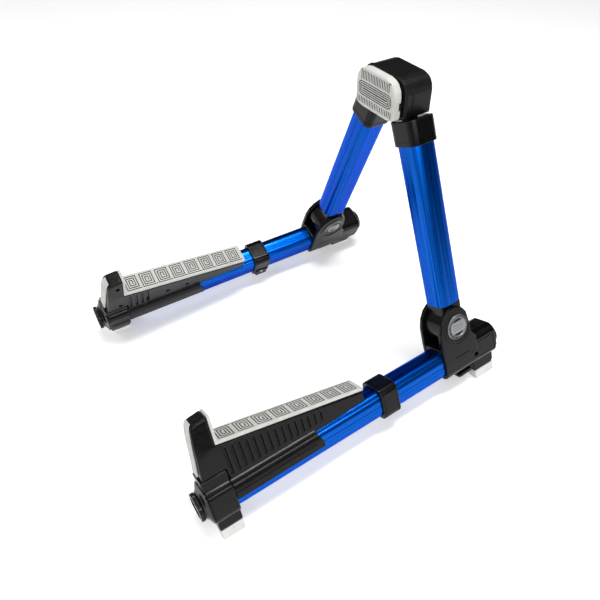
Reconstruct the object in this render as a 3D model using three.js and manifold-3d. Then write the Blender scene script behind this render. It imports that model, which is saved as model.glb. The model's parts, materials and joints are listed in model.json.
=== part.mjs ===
// Folding A-frame guitar stand: two splayed legs hinged in one head, each with a fold-out base
// that carries a sloping padded seat, an upstand and two rubber feet.
// Millimetres, +Z up, front towards -Y, origin on the floor under the middle of the stand.
//
// Each side is drawn in a leg frame whose origin is the fold pivot at the foot of the leg:
//   n  outward, across the leg      f  forward, along the base      v  up, along the leg

import * as THREE from 'three';
import { mergeVertices } from 'three/addons/utils/BufferGeometryUtils.js';
import Module from 'manifold-3d';

const wasm = await Module();
wasm.setup();

// ---------------------------------------------------------------- driving dimensions

const DEGREE = Math.PI / 180;
const GAP = 0.3; // clearance between neighbouring pieces

const LEAN = 24.15 * DEGREE; // inward lean of a leg
const TOE = 1.4 * DEGREE; // outward turn of a base
const PIVOT = { x: 118.5, y: 129.56, z: 70 }; // fold pivot of the right leg

const TUBE = { n: 14.5, v: 15.6, wall: 1.8 }; // half widths of both tubes
const BASE_AXIS = -40; // height of the base tube's axis under the pivot
const BASE_TUBE = { rear: 9, front: 306 };
const LEG_TUBE = { bottom: 27.4, top: 221.8 };

const HEAD_PIN = 240; // distance from the fold pivot up to the head pin
const HEAD_PIN_RADIUS = 3;
const HEAD_PIN_AT = { // from the point between the fold pivots
  x: PIVOT.x - HEAD_PIN * Math.sin(LEAN) * Math.cos(TOE),
  y: -HEAD_PIN * Math.sin(LEAN) * Math.sin(TOE),
  z: HEAD_PIN * Math.cos(LEAN),
};
const HEAD_PIN_TILT = Math.atan(Math.sin(TOE) / Math.tan(LEAN)); // makes the closed legs parallel
const TONGUE_PIN_TILT = Math.atan(Math.tan(TOE) / Math.sin(LEAN)); // the same axis in the leg frame
const TONGUE = { inner: -8, outer: 2, b: 6, radius: 8 }; // set inwards, clear of the housing's side wall

const SLEEVE = { n: 17, b: 16.4, bottom: 200, top: 224.5, roof: 2.4 };

const EAR = { inner: 12.8, outer: 17.4 };
const BARREL_RADIUS = 20.6; // round end of the knuckle between the ears
const PIVOT_PIN_RADIUS = 4;
const OUTER_BADGE = { radius: 14.4, thickness: 1.6 };
const INNER_BADGE = { radius: 12.4, thickness: 1.6 };

const BLOCK = { rear: -52, front: 24.8, n: 17.2, bottom: -58, top: -20.5 };
const REAR_FOOT = { rear: -48, front: -19, n: 12.5, top: -69 };
const LATCH = { pivotF: -14, pivotV: -42, pinRadius: 1.6, n: 8.5, thumbN: 12 };
const LATCH_SPRING = { coil: 2.7, wire: 0.45, turns: 5, n: 2.9 };

const BAND = { rear: 92, front: 113.7, n: 16.7, v: 18.8 };

const ARM = { n: 11.8, skirtN: 16.8, skirtV: 18, rear: 129, skirtRear: 188, wall: 2.4 };
const SEAT = { front: 284.6, frontV: 16, rear: 131, rearV: -13, thickness: 3.5, n: 12 };
const UPSTAND = { front: 306.4, top: 44.4, n: 8.5, taperFrom: 15 }; // narrows above the seat

const FRONT_BLOCK = { rear: 283.3, front: 308.5, n: 17.6, v: 19, top: -12.3 };
const FRONT_FOOT = { rear: 284, front: 307.5, n: 12, top: -68.5 };
const NOSE = { front: 314.3, discFront: 318.6, discRadius: 13.8 };
const REAR_CAP = { coneRear: -54.8, discRear: -58.6 };

const HOUSING = { front: -17, rear: 15.5, wall: 2.8, top: 244 }; // top is above the fold pivots
const PAD = { back: -19.6, front: -28 };

// ---------------------------------------------------------------- finishes

function finish(colour, roughness, metalness) {
  return new THREE.MeshStandardMaterial({ color: colour, roughness, metalness });
}

const FINISH = {
  anodised: () => finish(0x0b3fc4, 0.22, 0.9),
  plastic: () => finish(0x17181a, 0.45, 0),
  rubber: () => finish(0xd2d4d0, 0.7, 0),
  chrome: () => finish(0xb4b7ba, 0.25, 1),
  steel: () => finish(0x8d9094, 0.35, 1),
};

// ---------------------------------------------------------------- solids

function toSolid(geometry) {
  const bare = geometry.index ? geometry.toNonIndexed() : geometry.clone();
  bare.deleteAttribute('normal');
  bare.deleteAttribute('uv');
  const merged = mergeVertices(bare, 1e-4);
  return new wasm.Manifold(new wasm.Mesh({
    numProp: 3,
    vertProperties: new Float32Array(merged.attributes.position.array),
    triVerts: new Uint32Array(merged.index.array),
  }));
}

function toGeometry(solid) {
  const { vertProperties, triVerts } = solid.getMesh();
  const geometry = new THREE.BufferGeometry();
  geometry.setAttribute('position', new THREE.BufferAttribute(new Float32Array(vertProperties), 3));
  geometry.setIndex(new THREE.BufferAttribute(new Uint32Array(triVerts), 1));
  return geometry;
}

function cut(geometry, ...tools) {
  return toGeometry(tools.reduce((solid, tool) => solid.subtract(toSolid(tool)), toSolid(geometry)));
}

function join(geometry, ...others) {
  return toGeometry(others.reduce((solid, other) => solid.add(toSolid(other)), toSolid(geometry)));
}

function keep(geometry, region) {
  return toGeometry(toSolid(geometry).intersect(toSolid(region)));
}

function mirrored(geometry) {
  const flipped = geometry.index ? geometry.toNonIndexed() : geometry.clone();
  flipped.scale(-1, 1, 1);
  const p = flipped.attributes.position;
  const corner = new THREE.Vector3();
  const other = new THREE.Vector3();
  for (let i = 0; i < p.count; i += 3) {
    corner.fromBufferAttribute(p, i + 1);
    other.fromBufferAttribute(p, i + 2);
    p.setXYZ(i + 1, other.x, other.y, other.z);
    p.setXYZ(i + 2, corner.x, corner.y, corner.z);
  }
  return mergeVertices(bareOf(flipped), 1e-4);
}

function bareOf(geometry) {
  geometry.deleteAttribute('normal');
  geometry.deleteAttribute('uv');
  return geometry;
}

// ---------------------------------------------------------------- outlines

function polygon(points) {
  return new THREE.Shape(points.map(([x, y]) => new THREE.Vector2(x, y)));
}

function superellipse(halfX, halfY, centreY = 0, segments = 24) {
  const POWER = 0.6;
  const points = [];
  for (let i = 0; i < segments; i++) {
    const angle = (i / segments) * 2 * Math.PI;
    const c = Math.cos(angle);
    const s = Math.sin(angle);
    points.push([
      halfX * Math.sign(c) * Math.abs(c) ** POWER,
      centreY + halfY * Math.sign(s) * Math.abs(s) ** POWER,
    ]);
  }
  return points;
}

function roundedRectangle(x0, x1, y0, y1, radius, segments = 4) {
  const corners = [[x1, y1, 0], [x0, y1, 1], [x0, y0, 2], [x1, y0, 3]];
  const points = [];
  for (const [x, y, quarter] of corners) {
    const cx = x - Math.sign(x - (x0 + x1) / 2) * radius;
    const cy = y - Math.sign(y - (y0 + y1) / 2) * radius;
    for (let i = 0; i <= segments; i++) {
      const angle = (quarter + i / segments) * Math.PI / 2;
      points.push([cx + radius * Math.cos(angle), cy + radius * Math.sin(angle)]);
    }
  }
  return points;
}

// ---------------------------------------------------------------- solids in the leg frame
// Local axes of a leg group: X = n (outward), Y = -f (backward), Z = v (up).

// outline of [f, v] points, thick from n0 to n1
function sideways(points, n0, n1) {
  const geometry = new THREE.ExtrudeGeometry(polygon(points), { depth: n1 - n0, bevelEnabled: false });
  const place = new THREE.Matrix4().makeBasis(
    new THREE.Vector3(0, -1, 0),
    new THREE.Vector3(0, 0, 1),
    new THREE.Vector3(-1, 0, 0),
  );
  return geometry.applyMatrix4(place).translate(n1, 0, 0);
}

// outline of [n, v] points, long from f0 to f1
function lengthways(points, f0, f1, hole) {
  const shape = polygon(points);
  if (hole) shape.holes.push(new THREE.Path(hole.map(([x, y]) => new THREE.Vector2(x, y))));
  const geometry = new THREE.ExtrudeGeometry(shape, { depth: f1 - f0, bevelEnabled: false });
  return geometry.rotateX(Math.PI / 2).translate(0, -f0, 0);
}

// outline of [n, back] points, tall from v0 to v1
function upright(points, v0, v1, hole) {
  const shape = polygon(points);
  if (hole) shape.holes.push(new THREE.Path(hole.map(([x, y]) => new THREE.Vector2(x, y))));
  const geometry = new THREE.ExtrudeGeometry(shape, { depth: v1 - v0, bevelEnabled: false });
  return geometry.translate(0, 0, v0);
}

// skin through rings of [x, y, z] points, closed by a flat fan at each end
function loft(rings) {
  const size = rings[0].length;
  const centre = (ring) => [0, 1, 2].map((k) => ring.reduce((sum, p) => sum + p[k], 0) / size);
  const points = [...rings.flat(), centre(rings[0]), centre(rings[rings.length - 1])];
  const index = [];
  for (let r = 0; r + 1 < rings.length; r++) {
    for (let i = 0; i < size; i++) {
      const a = r * size + i;
      const b = r * size + ((i + 1) % size);
      index.push(a, b, b + size, a, b + size, a + size);
    }
  }
  const last = (rings.length - 1) * size;
  const first = rings.length * size;
  for (let i = 0; i < size; i++) {
    const next = (i + 1) % size;
    index.push(first, next, i, first + 1, last + i, last + next);
  }
  const geometry = new THREE.BufferGeometry();
  geometry.setAttribute('position', new THREE.BufferAttribute(new Float32Array(points.flat()), 3));
  geometry.setIndex(index);
  return geometry;
}

function cylinderAcross(radius, n0, n1, f = 0, v = 0, segments = 24) {
  const geometry = new THREE.CylinderGeometry(radius, radius, n1 - n0, segments);
  return geometry.rotateZ(Math.PI / 2).translate((n0 + n1) / 2, -f, v);
}

function cylinderAlong(radius, f0, f1, n = 0, v = 0, segments = 16) {
  const geometry = new THREE.CylinderGeometry(radius, radius, f1 - f0, segments);
  return geometry.translate(n, -(f0 + f1) / 2, v);
}

function box(n0, n1, f0, f1, v0, v1) {
  const geometry = new THREE.BoxGeometry(n1 - n0, f1 - f0, v1 - v0);
  return geometry.translate((n0 + n1) / 2, -(f0 + f1) / 2, (v0 + v1) / 2);
}

const tubeSection = (extra = 0) => superellipse(TUBE.n + extra, TUBE.v + extra);
const baseSection = (extra = 0) => superellipse(TUBE.n + extra, TUBE.v + extra, BASE_AXIS);

// ---------------------------------------------------------------- leg pieces

function upperTube() {
  return upright(tubeSection(), LEG_TUBE.bottom, LEG_TUBE.top, tubeSection(-TUBE.wall));
}

function tongueSlot(extra) {
  return box(TONGUE.inner - extra, TONGUE.outer + extra, -TONGUE.b - extra, TONGUE.b + extra, 205, HEAD_PIN);
}

function topSleeve() {
  const outline = roundedRectangle(-SLEEVE.n, SLEEVE.n, -SLEEVE.b, SLEEVE.b, 9);
  const shell = upright(outline, SLEEVE.bottom, SLEEVE.top);
  const socket = upright(tubeSection(GAP), SLEEVE.bottom - 1, SLEEVE.top - SLEEVE.roof);
  return cut(shell, socket, tongueSlot(GAP));
}

function headKnuckle() {
  const plug = upright(tubeSection(-TUBE.wall - GAP), 188, 216);
  const neck = box(TONGUE.inner, TONGUE.outer, -TONGUE.b, TONGUE.b, 210, HEAD_PIN);
  const eye = new THREE.CylinderGeometry(TONGUE.radius, TONGUE.radius, 2 * TONGUE.b, 20);
  const hole = new THREE.CylinderGeometry(HEAD_PIN_RADIUS + GAP, HEAD_PIN_RADIUS + GAP, 40, 16);
  eye.translate(0, 0, HEAD_PIN);
  hole.rotateX(-TONGUE_PIN_TILT).translate(0, 0, HEAD_PIN);
  return cut(join(plug, neck, eye), hole);
}

function hingeKnuckle() {
  const width = EAR.inner - GAP;
  const barrel = cylinderAcross(BARREL_RADIUS, -width, width, 0, 0, 28);
  const neck = box(-width, width, -13, 13, 0, LEG_TUBE.bottom - GAP);
  const plug = upright(tubeSection(-TUBE.wall - GAP), LEG_TUBE.bottom - GAP - 1, 48);
  const pinHole = cylinderAcross(PIVOT_PIN_RADIUS + GAP, -20, 20, 0, 0, 16);
  const notchOutline = [[-9.2, -15.2], [-13.4, -12.2], [-20, -18], [-13, -24]];
  const openNotch = sideways(notchOutline, -LATCH.n - 1, LATCH.n + 1);
  return cut(join(barrel, neck, plug), pinHole, openNotch);
}

function pivotPin() {
  return cylinderAcross(PIVOT_PIN_RADIUS, -EAR.outer + 1.2, EAR.outer - 1.2, 0, 0, 16);
}

function badge(size, facing) {
  const inner = EAR.outer - 1;
  const outer = inner + size.thickness;
  const disc = cylinderAcross(size.radius, inner, outer, 0, 0, 32);
  const dish = cylinderAcross(size.radius - 2, outer - 0.5, outer + 1, 0, 0, 32);
  const rim = cylinderAcross(size.radius - 4, inner, outer, 0, 0, 28);
  const face = join(cut(disc, dish), rim);
  return facing > 0 ? face : mirrored(face);
}

// ---------------------------------------------------------------- base pieces

function hingeBlock() {
  const barrel = lengthways(
    roundedRectangle(-BLOCK.n, BLOCK.n, BLOCK.bottom, BLOCK.top, 9, 5),
    BLOCK.rear, BLOCK.front,
  );
  const earOutline = [
    [24.8, -40], [25.6, -20], [25.2, 0], [22.6, 10], [17, 19], [9, 24.6],
    [0, 25], [-10.6, 19], [-15, 13], [-17.2, 0], [-18, -14], [-24, -21], [-24, -40],
  ];
  const ears = [-1, 1].map((side) => (
    sideways(earOutline, side > 0 ? EAR.inner : -EAR.outer, side > 0 ? EAR.outer : -EAR.inner)
  ));
  const foot = sideways(
    [
      [REAR_FOOT.rear, REAR_FOOT.top + 3], [REAR_FOOT.rear + 3, REAR_FOOT.top],
      [REAR_FOOT.front, REAR_FOOT.top], [REAR_FOOT.front + 2, -52], [BLOCK.rear + 2, -52],
    ],
    -REAR_FOOT.n, REAR_FOOT.n,
  );
  const socket = lengthways(baseSection(GAP), BASE_TUBE.rear - GAP, BLOCK.front + 2);
  const knucklePocket = cylinderAcross(BARREL_RADIUS + 1.4, -EAR.inner, EAR.inner, 0, 0, 28);
  const knuckleMouth = box(-EAR.inner, EAR.inner, -19, 40, -20, 40);
  const pinHole = cylinderAcross(PIVOT_PIN_RADIUS + GAP, -30, 30, 0, 0, 16);
  const outerSeat = cylinderAcross(OUTER_BADGE.radius + GAP, EAR.outer - 1 - GAP, 30, 0, 0, 32);
  const innerSeat = cylinderAcross(INNER_BADGE.radius + GAP, -30, -EAR.outer + 1 + GAP, 0, 0, 32);
  const latchPocket = box(-LATCH.n - 1, LATCH.n + 1, -16.8, BASE_TUBE.rear - 1, -66, -50);
  const pawlPocket = box(-LATCH.n - 1.5, LATCH.n + 1.5, -23, -8.6, -51.5, -10);
  const latchPinHole = cylinderAcross(LATCH.pinRadius + GAP, -12, 12, LATCH.pivotF, LATCH.pivotV, 12);
  return cut(
    join(barrel, ...ears, foot),
    socket, knucklePocket, knuckleMouth, pinHole,
    outerSeat, innerSeat, latchPocket, pawlPocket, latchPinHole,
  );
}

function baseTube() {
  return lengthways(baseSection(), BASE_TUBE.rear, BASE_TUBE.front, baseSection(-TUBE.wall));
}

function rearCap() {
  const ring = (half, f) => roundedRectangle(-half, half, BASE_AXIS - half, BASE_AXIS + half, half * 0.6)
    .map(([n, v]) => [n, -f, v]);
  const cone = loft([ring(15, REAR_CAP.coneRear), ring(16.4, BLOCK.rear - GAP)]);
  const disc = cylinderAlong(NOSE.discRadius, REAR_CAP.discRear, REAR_CAP.coneRear + 0.6, 0, BASE_AXIS, 28);
  return join(cone, disc);
}

// wedge whose sole is level with the floor when the leg leans
function sole(foot) {
  const level = (n) => -(PIVOT.z + n * Math.sin(LEAN)) / Math.cos(LEAN);
  const inset = 0.4;
  const half = foot.n - inset;
  const top = foot.top - GAP;
  const outline = [[-half, top], [-half, level(-half)], [half, level(half)], [half, top]];
  return lengthways(outline, foot.rear + inset, foot.front - inset);
}

function releaseLatch() {
  const tab = sideways(
    [
      [5.2, -62.4], [5.2, -59], [-12, -56.2], [-11.4, -44], [-11.4, -19], [-14, -15.6], [-16.6, -21],
      [-16.6, -44], [-14.8, -58.4], [-14.6, -63],
    ],
    -LATCH.n, LATCH.n,
  );
  const thumbPlate = sideways(
    [[5.2, -64.8], [5.2, -61.6], [-12, -60.4], [-14.6, -61], [-14.4, -65.4], [3, -65.8]],
    -LATCH.thumbN, LATCH.thumbN,
  );
  const pinHole = cylinderAcross(LATCH.pinRadius + GAP, -12, 12, LATCH.pivotF, LATCH.pivotV, 12);
  const coilRoom = LATCH_SPRING.n + 1;
  const springSlot = box(-coilRoom, coilRoom, -18, -10, LATCH.pivotV - 4, LATCH.pivotV + 4);
  return cut(join(tab, thumbPlate), pinHole, springSlot);
}

// torsion spring wound round the latch pin
function latchSpring() {
  const { coil, wire, turns, n } = LATCH_SPRING;
  class Helix extends THREE.Curve {
    getPoint(t, target = new THREE.Vector3()) {
      const angle = t * turns * 2 * Math.PI;
      return target.set(
        -n + 2 * n * t,
        -LATCH.pivotF + coil * Math.cos(angle),
        LATCH.pivotV + coil * Math.sin(angle),
      );
    }
  }
  const section = polygon(superellipse(wire, wire, 0, 6));
  const options = { extrudePath: new Helix(), steps: turns * 9, bevelEnabled: false };
  return new THREE.ExtrudeGeometry(section, options);
}

function latchPin() {
  return cylinderAcross(LATCH.pinRadius, -11.6, 11.6, LATCH.pivotF, LATCH.pivotV, 12);
}

function midBand() {
  const ring = lengthways(
    roundedRectangle(-BAND.n, BAND.n, BASE_AXIS - BAND.v, BASE_AXIS + BAND.v, 8),
    BAND.rear, BAND.front,
  );
  const lug = box(-BAND.n - 1.4, -6, BAND.rear + 3, BAND.front - 3, BASE_AXIS - BAND.v + 1.6, BASE_AXIS - 5);
  const bore = lengthways(baseSection(GAP), BAND.rear - 1, BAND.front + 1);
  const screwHole = bandScrewBody(GAP);
  return cut(join(ring, lug), bore, screwHole);
}

const BAND_SCREW = { radius: 2.6, v: BASE_AXIS - 9, head: 1.6 };

function bandScrewBody(extra) {
  const f = (BAND.rear + BAND.front) / 2;
  const start = -BAND.n - 1.4 - extra;
  const end = -BAND.n + BAND_SCREW.head - 0.4;
  return cylinderAcross(BAND_SCREW.radius + extra, start, end, f, BAND_SCREW.v, 14);
}

// ---------------------------------------------------------------- support arm

const seatLine = (f, lift = 0) => {
  const slope = (SEAT.frontV - SEAT.rearV) / (SEAT.front - SEAT.rear);
  return SEAT.rearV + slope * (f - SEAT.rear) + lift;
};

// front view of the arm: straight flanks up to the seat, narrowing to the top of the upstand
function flank(halfSeat, halfTop, n0 = -halfSeat) {
  const innerTop = Math.max(n0, -halfTop);
  return [
    [n0, -60], [halfSeat, -60], [halfSeat, UPSTAND.taperFrom], [halfTop, UPSTAND.top], [halfTop, 60],
    [innerTop, 60], [innerTop, UPSTAND.top], [n0, UPSTAND.taperFrom],
  ];
}

function armShell(facing) {
  const outline = [
    [ARM.rear, -25], [ARM.rear, seatLine(ARM.rear) - 1], [SEAT.rear, SEAT.rearV], [SEAT.front, SEAT.frontV],
    [SEAT.front - 2, UPSTAND.top], [297.6, 41.8], [299.4, 38], [301.6, 26], [304.1, 7],
    [UPSTAND.front, FRONT_BLOCK.top + GAP], [FRONT_BLOCK.rear - GAP, FRONT_BLOCK.top + GAP],
    [FRONT_BLOCK.rear - GAP, -34], [ARM.skirtRear + 2, -34], [ARM.skirtRear, -28],
  ];
  const core = keep(
    sideways(outline, GAP / 2, ARM.n),
    lengthways(flank(ARM.n, UPSTAND.n, 0), ARM.rear - 1, UPSTAND.front + 1),
  );
  const front = FRONT_BLOCK.rear - GAP;
  const skirt = keep(
    lengthways(superellipse(ARM.skirtN, ARM.skirtV, BASE_AXIS, 32), ARM.skirtRear, front),
    sideways(
      [[ARM.skirtRear - 2, -43.5], [ARM.skirtRear + 6, -20], [front + 1, -20], [front + 1, -43.5]],
      GAP / 2, 30,
    ),
  );
  const hollow = keep(
    sideways(
      [
        [170, seatLine(170, -ARM.wall)], [SEAT.front + ARM.wall, seatLine(SEAT.front, -ARM.wall)],
        [SEAT.front + ARM.wall - 1.6, UPSTAND.top - 4], [296, 37], [298.8, 26], [301.2, 7],
        [303.4, FRONT_BLOCK.top + ARM.wall], [280, FRONT_BLOCK.top + ARM.wall], [278, -22], [170, -22],
      ],
      -1, ARM.n - ARM.wall,
    ),
    lengthways(flank(ARM.n - ARM.wall, UPSTAND.n - ARM.wall, -1), 160, UPSTAND.front),
  );
  const tube = lengthways(baseSection(GAP), ARM.rear - 2, FRONT_BLOCK.rear + 2);
  const shell = cut(join(core, skirt), hollow, tube);
  return facing > 0 ? shell : mirrored(shell);
}

// one moulding: the sloping seat and a strip up the rear face of the upstand
function seatPad() {
  const lift = GAP + SEAT.thickness;
  const corner = SEAT.front - GAP;
  const profile = sideways(
    [
      [SEAT.rear - 3, seatLine(SEAT.rear - 3, GAP)], [corner, seatLine(corner, GAP)],
      [corner - 2, UPSTAND.top], [corner - 4.6, UPSTAND.top - 0.6],
      [corner - 3.2, seatLine(corner - 3.2, lift)], [SEAT.rear - 1.5, seatLine(SEAT.rear - 1.5, lift)],
      [SEAT.rear - 3, seatLine(SEAT.rear - 3, lift - 1.2)],
    ],
    -SEAT.n, SEAT.n,
  );
  const roundedRear = upright(roundedRectangle(-SEAT.n, SEAT.n, -330, 3 - SEAT.rear, 4), -40, 80);
  return keep(keep(profile, lengthways(flank(SEAT.n, UPSTAND.n), 100, 300)), roundedRear);
}

// pad on the front face of the upstand, narrowing downwards
function frontStrip() {
  const half = [[-7.4, 38.5], [7.4, 38.5], [8.2, 30], [6.8, -8], [-6.8, -8], [-8.2, 30]];
  const gap = GAP + 0.05;
  const depth = gap + 1;
  const sheet = sideways(
    [
      [299.4 + gap, 38], [301.6 + gap, 26], [304.1 + gap, 7], [UPSTAND.front + gap, FRONT_BLOCK.top],
      [UPSTAND.front + depth, FRONT_BLOCK.top], [304.1 + depth, 7.1], [301.6 + depth, 26.2],
      [299.9 + depth, 38],
    ],
    -12, 12,
  );
  return keep(sheet, lengthways(half, 290, 315));
}

// ---------------------------------------------------------------- front end of the base

function frontBlock() {
  const { rear, front, n, v, top } = FRONT_BLOCK;
  const foot = FRONT_FOOT;
  const wrap = lengthways(roundedRectangle(-n, n, BASE_AXIS - v, BASE_AXIS + v, 9, 5), rear, front);
  const saddle = box(-ARM.n, ARM.n, rear, front, BASE_AXIS, top);
  const shank = box(-foot.n, foot.n, foot.rear, foot.front, foot.top, BASE_AXIS);
  const socket = lengthways(baseSection(GAP), rear - 1, BASE_TUBE.front + GAP);
  return cut(join(wrap, saddle, shank), socket);
}

function frontNose() {
  const ring = (halfN, halfV, f, radius) => (
    roundedRectangle(-halfN, halfN, BASE_AXIS - halfV, BASE_AXIS + halfV, radius).map(([n, v]) => [n, -f, v])
  );
  const start = FRONT_BLOCK.front + GAP;
  return loft([ring(17, 18.4, start, 9), ring(13.6, 13.8, 312.4, 11), ring(12.4, 12.4, NOSE.front, 12.2)]);
}

function frontDisc() {
  return cylinderAlong(NOSE.discRadius, NOSE.front + GAP, NOSE.discFront, 0, BASE_AXIS, 28);
}

// ---------------------------------------------------------------- head

// outline of [x, z] points, deep from y0 to y1
function frontal(points, y0, y1) {
  const geometry = new THREE.ExtrudeGeometry(polygon(points), { depth: y1 - y0, bevelEnabled: false });
  return geometry.rotateX(Math.PI / 2).translate(0, y1, 0);
}

function symmetric(right) {
  return [...right, ...[...right].reverse().map(([x, z]) => [-x, z])];
}

const TOP = HOUSING.top - HEAD_PIN_AT.z; // housing roof above the head pins
const FLOOR = TOP - 40.4; // underside of the housing between the legs

function housingOutline(inset) {
  const open = inset > 0; // an inner outline runs out through the floor
  return symmetric([
    [22, open ? FLOOR - 20 : FLOOR], [32 - inset, open ? FLOOR - 20 : FLOOR + 4.6], [32 - inset, TOP - 13.5],
    [31 - inset, TOP - 8.5], [28 - inset * 0.8, TOP - 4], [24 - inset * 0.6, TOP - 1.5 - inset * 0.7],
    [18, TOP - inset],
  ]);
}

function headPinAt(side, radius, y0, y1) {
  const geometry = new THREE.CylinderGeometry(radius, radius, y1 - y0, 16);
  geometry.translate(0, (y0 + y1) / 2, 0).rotateX(-HEAD_PIN_TILT);
  return geometry.translate(side * HEAD_PIN_AT.x, HEAD_PIN_AT.y, 0);
}

function headHousing() {
  const body = frontal(housingOutline(0), HOUSING.front, HOUSING.rear);
  const cavity = frontal(housingOutline(HOUSING.wall), HOUSING.front + HOUSING.wall, 12.4);
  const rearMouth = frontal(housingOutline(HOUSING.wall), 12, 20);
  const shell = cut(body, cavity, rearMouth);
  const bosses = [-1, 1].map((side) => headPinAt(side, 6.5, -13, -TONGUE.b - 1.2));
  const holes = [-1, 1].map((side) => headPinAt(side, HEAD_PIN_RADIUS + GAP, -12, 30));
  return cut(join(shell, ...bosses), ...holes);
}

function headRearCover() {
  const inset = HOUSING.wall + GAP;
  const outline = housingOutline(inset).map(([x, z]) => [x, Math.max(z, FLOOR + 5)]);
  const plate = frontal(outline, 12.7, 15.2);
  const bosses = [-1, 1].map((side) => headPinAt(side, 6.5, TONGUE.b + 1.2, 16));
  const holes = [-1, 1].map((side) => headPinAt(side, HEAD_PIN_RADIUS + GAP, 0, 15));
  const screws = HEAD_SCREWS.map(([x, z]) => headScrewBody(GAP).translate(x, 0, z));
  return cut(join(plate, ...bosses), ...holes, ...screws);
}

const HEAD_SCREWS = [[-25.4, TOP - 30], [25.4, TOP - 30], [-22, TOP - 8], [22, TOP - 8]];

function headScrewBody(extra) {
  const geometry = new THREE.CylinderGeometry(2.6 + extra, 2.6 + extra, 1.6 + 2 * extra, 14);
  return geometry.translate(0, 14.3 + extra, 0);
}

function headPin(side) {
  return headPinAt(side, HEAD_PIN_RADIUS, -11.7, 14.7);
}

function padOutline(inset, top, bottom) {
  const side = 29.3 - inset;
  return symmetric([
    [18, bottom], [24.5, bottom + 1], [28.2 - inset, bottom + 3], [side, bottom + 5.5],
    [side, top - 15], [28 - inset, top - 9], [24.4 - inset, top - 3.8], [20 - inset, top - 1.2], [14, top],
  ]);
}

function headFrontPlate() {
  return frontal(padOutline(0.8, TOP - 1, TOP - 38.2), HOUSING.front - 2.3, HOUSING.front - GAP);
}

function headPad() {
  const body = frontal(padOutline(0, TOP + 0.5, TOP - 39), PAD.front, PAD.back);
  const notches = [-1, 1].map((side) => (
    new THREE.BoxGeometry(5, 6, 8).translate(side * 29.3, PAD.back, TOP - 23.4)
  ));
  return cut(body, ...notches);
}

// ---------------------------------------------------------------- assembly

const stand = new THREE.Group();

function add(group, name, geometry, material) {
  const mesh = new THREE.Mesh(geometry, material());
  mesh.name = name;
  group.add(mesh);
}

const LEG_PIECES = [
  ['upper_tube', upperTube, FINISH.anodised],
  ['top_sleeve', topSleeve, FINISH.plastic],
  ['head_knuckle', headKnuckle, FINISH.plastic],
  ['hinge_knuckle', hingeKnuckle, FINISH.plastic],
];

const BASE_PIECES = [
  ['pivot_pin', pivotPin, FINISH.steel],
  ['outer_badge', () => badge(OUTER_BADGE, 1), FINISH.chrome],
  ['inner_badge', () => badge(INNER_BADGE, -1), FINISH.chrome],
  ['hinge_block', hingeBlock, FINISH.plastic],
  ['base_tube', baseTube, FINISH.anodised],
  ['rear_cap', rearCap, FINISH.plastic],
  ['rear_foot', () => sole(REAR_FOOT), FINISH.rubber],
  ['release_latch', releaseLatch, FINISH.plastic],
  ['latch_pin', latchPin, FINISH.steel],
  ['latch_spring', latchSpring, FINISH.steel],
  ['mid_band', midBand, FINISH.plastic],
  ['band_screw', () => bandScrewBody(0), FINISH.steel],
  ['arm_outer_shell', () => armShell(1), FINISH.plastic],
  ['arm_inner_shell', () => armShell(-1), FINISH.plastic],
  ['seat_pad', seatPad, FINISH.rubber],
  ['upstand_strip', frontStrip, FINISH.rubber],
  ['front_block', frontBlock, FINISH.plastic],
  ['front_foot', () => sole(FRONT_FOOT), FINISH.rubber],
  ['front_nose', frontNose, FINISH.plastic],
  ['front_disc', frontDisc, FINISH.plastic],
];

for (const [label, side] of [['right', 1], ['left', -1]]) {
  const leg = new THREE.Group();
  leg.position.set(side * PIVOT.x, PIVOT.y, PIVOT.z);
  leg.rotation.set(0, -side * LEAN, side * TOE, 'ZYX');
  const base = new THREE.Group(); // folds about the leg group's own X axis
  leg.add(base);
  stand.add(leg);
  for (const [group, pieces] of [[leg, LEG_PIECES], [base, BASE_PIECES]]) {
    for (const [name, make, material] of pieces) {
      const geometry = make();
      add(group, `${label}_${name}`, side > 0 ? geometry : mirrored(geometry), material);
    }
  }
}

const head = new THREE.Group();
head.position.set(0, PIVOT.y, PIVOT.z + HEAD_PIN_AT.z);
stand.add(head);
add(head, 'head_housing', headHousing(), FINISH.plastic);
add(head, 'head_front_plate', headFrontPlate(), FINISH.plastic);
add(head, 'head_pad', headPad(), FINISH.rubber);
add(head, 'head_rear_cover', headRearCover(), FINISH.plastic);
add(head, 'right_head_pin', headPin(1), FINISH.steel);
add(head, 'left_head_pin', headPin(-1), FINISH.steel);
HEAD_SCREWS.forEach(([x, z], i) => {
  add(head, `head_screw_${i + 1}`, headScrewBody(0).translate(x, 0, z), FINISH.steel);
});

export default stand;
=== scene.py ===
"""Looks of a folding A-frame guitar stand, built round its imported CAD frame.

The pieces of a leg and its base are drawn once, in millimetres along that leg's own axes:
n outward across the leg, f forward along the base, v up along the leg, from the fold pivot.
They are then placed on both sides. The head's pieces are drawn in x, y, z of the stand itself.
"""

import json
import math
from collections import namedtuple

import bmesh
import bpy
from mathutils import Matrix, Vector


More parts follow.
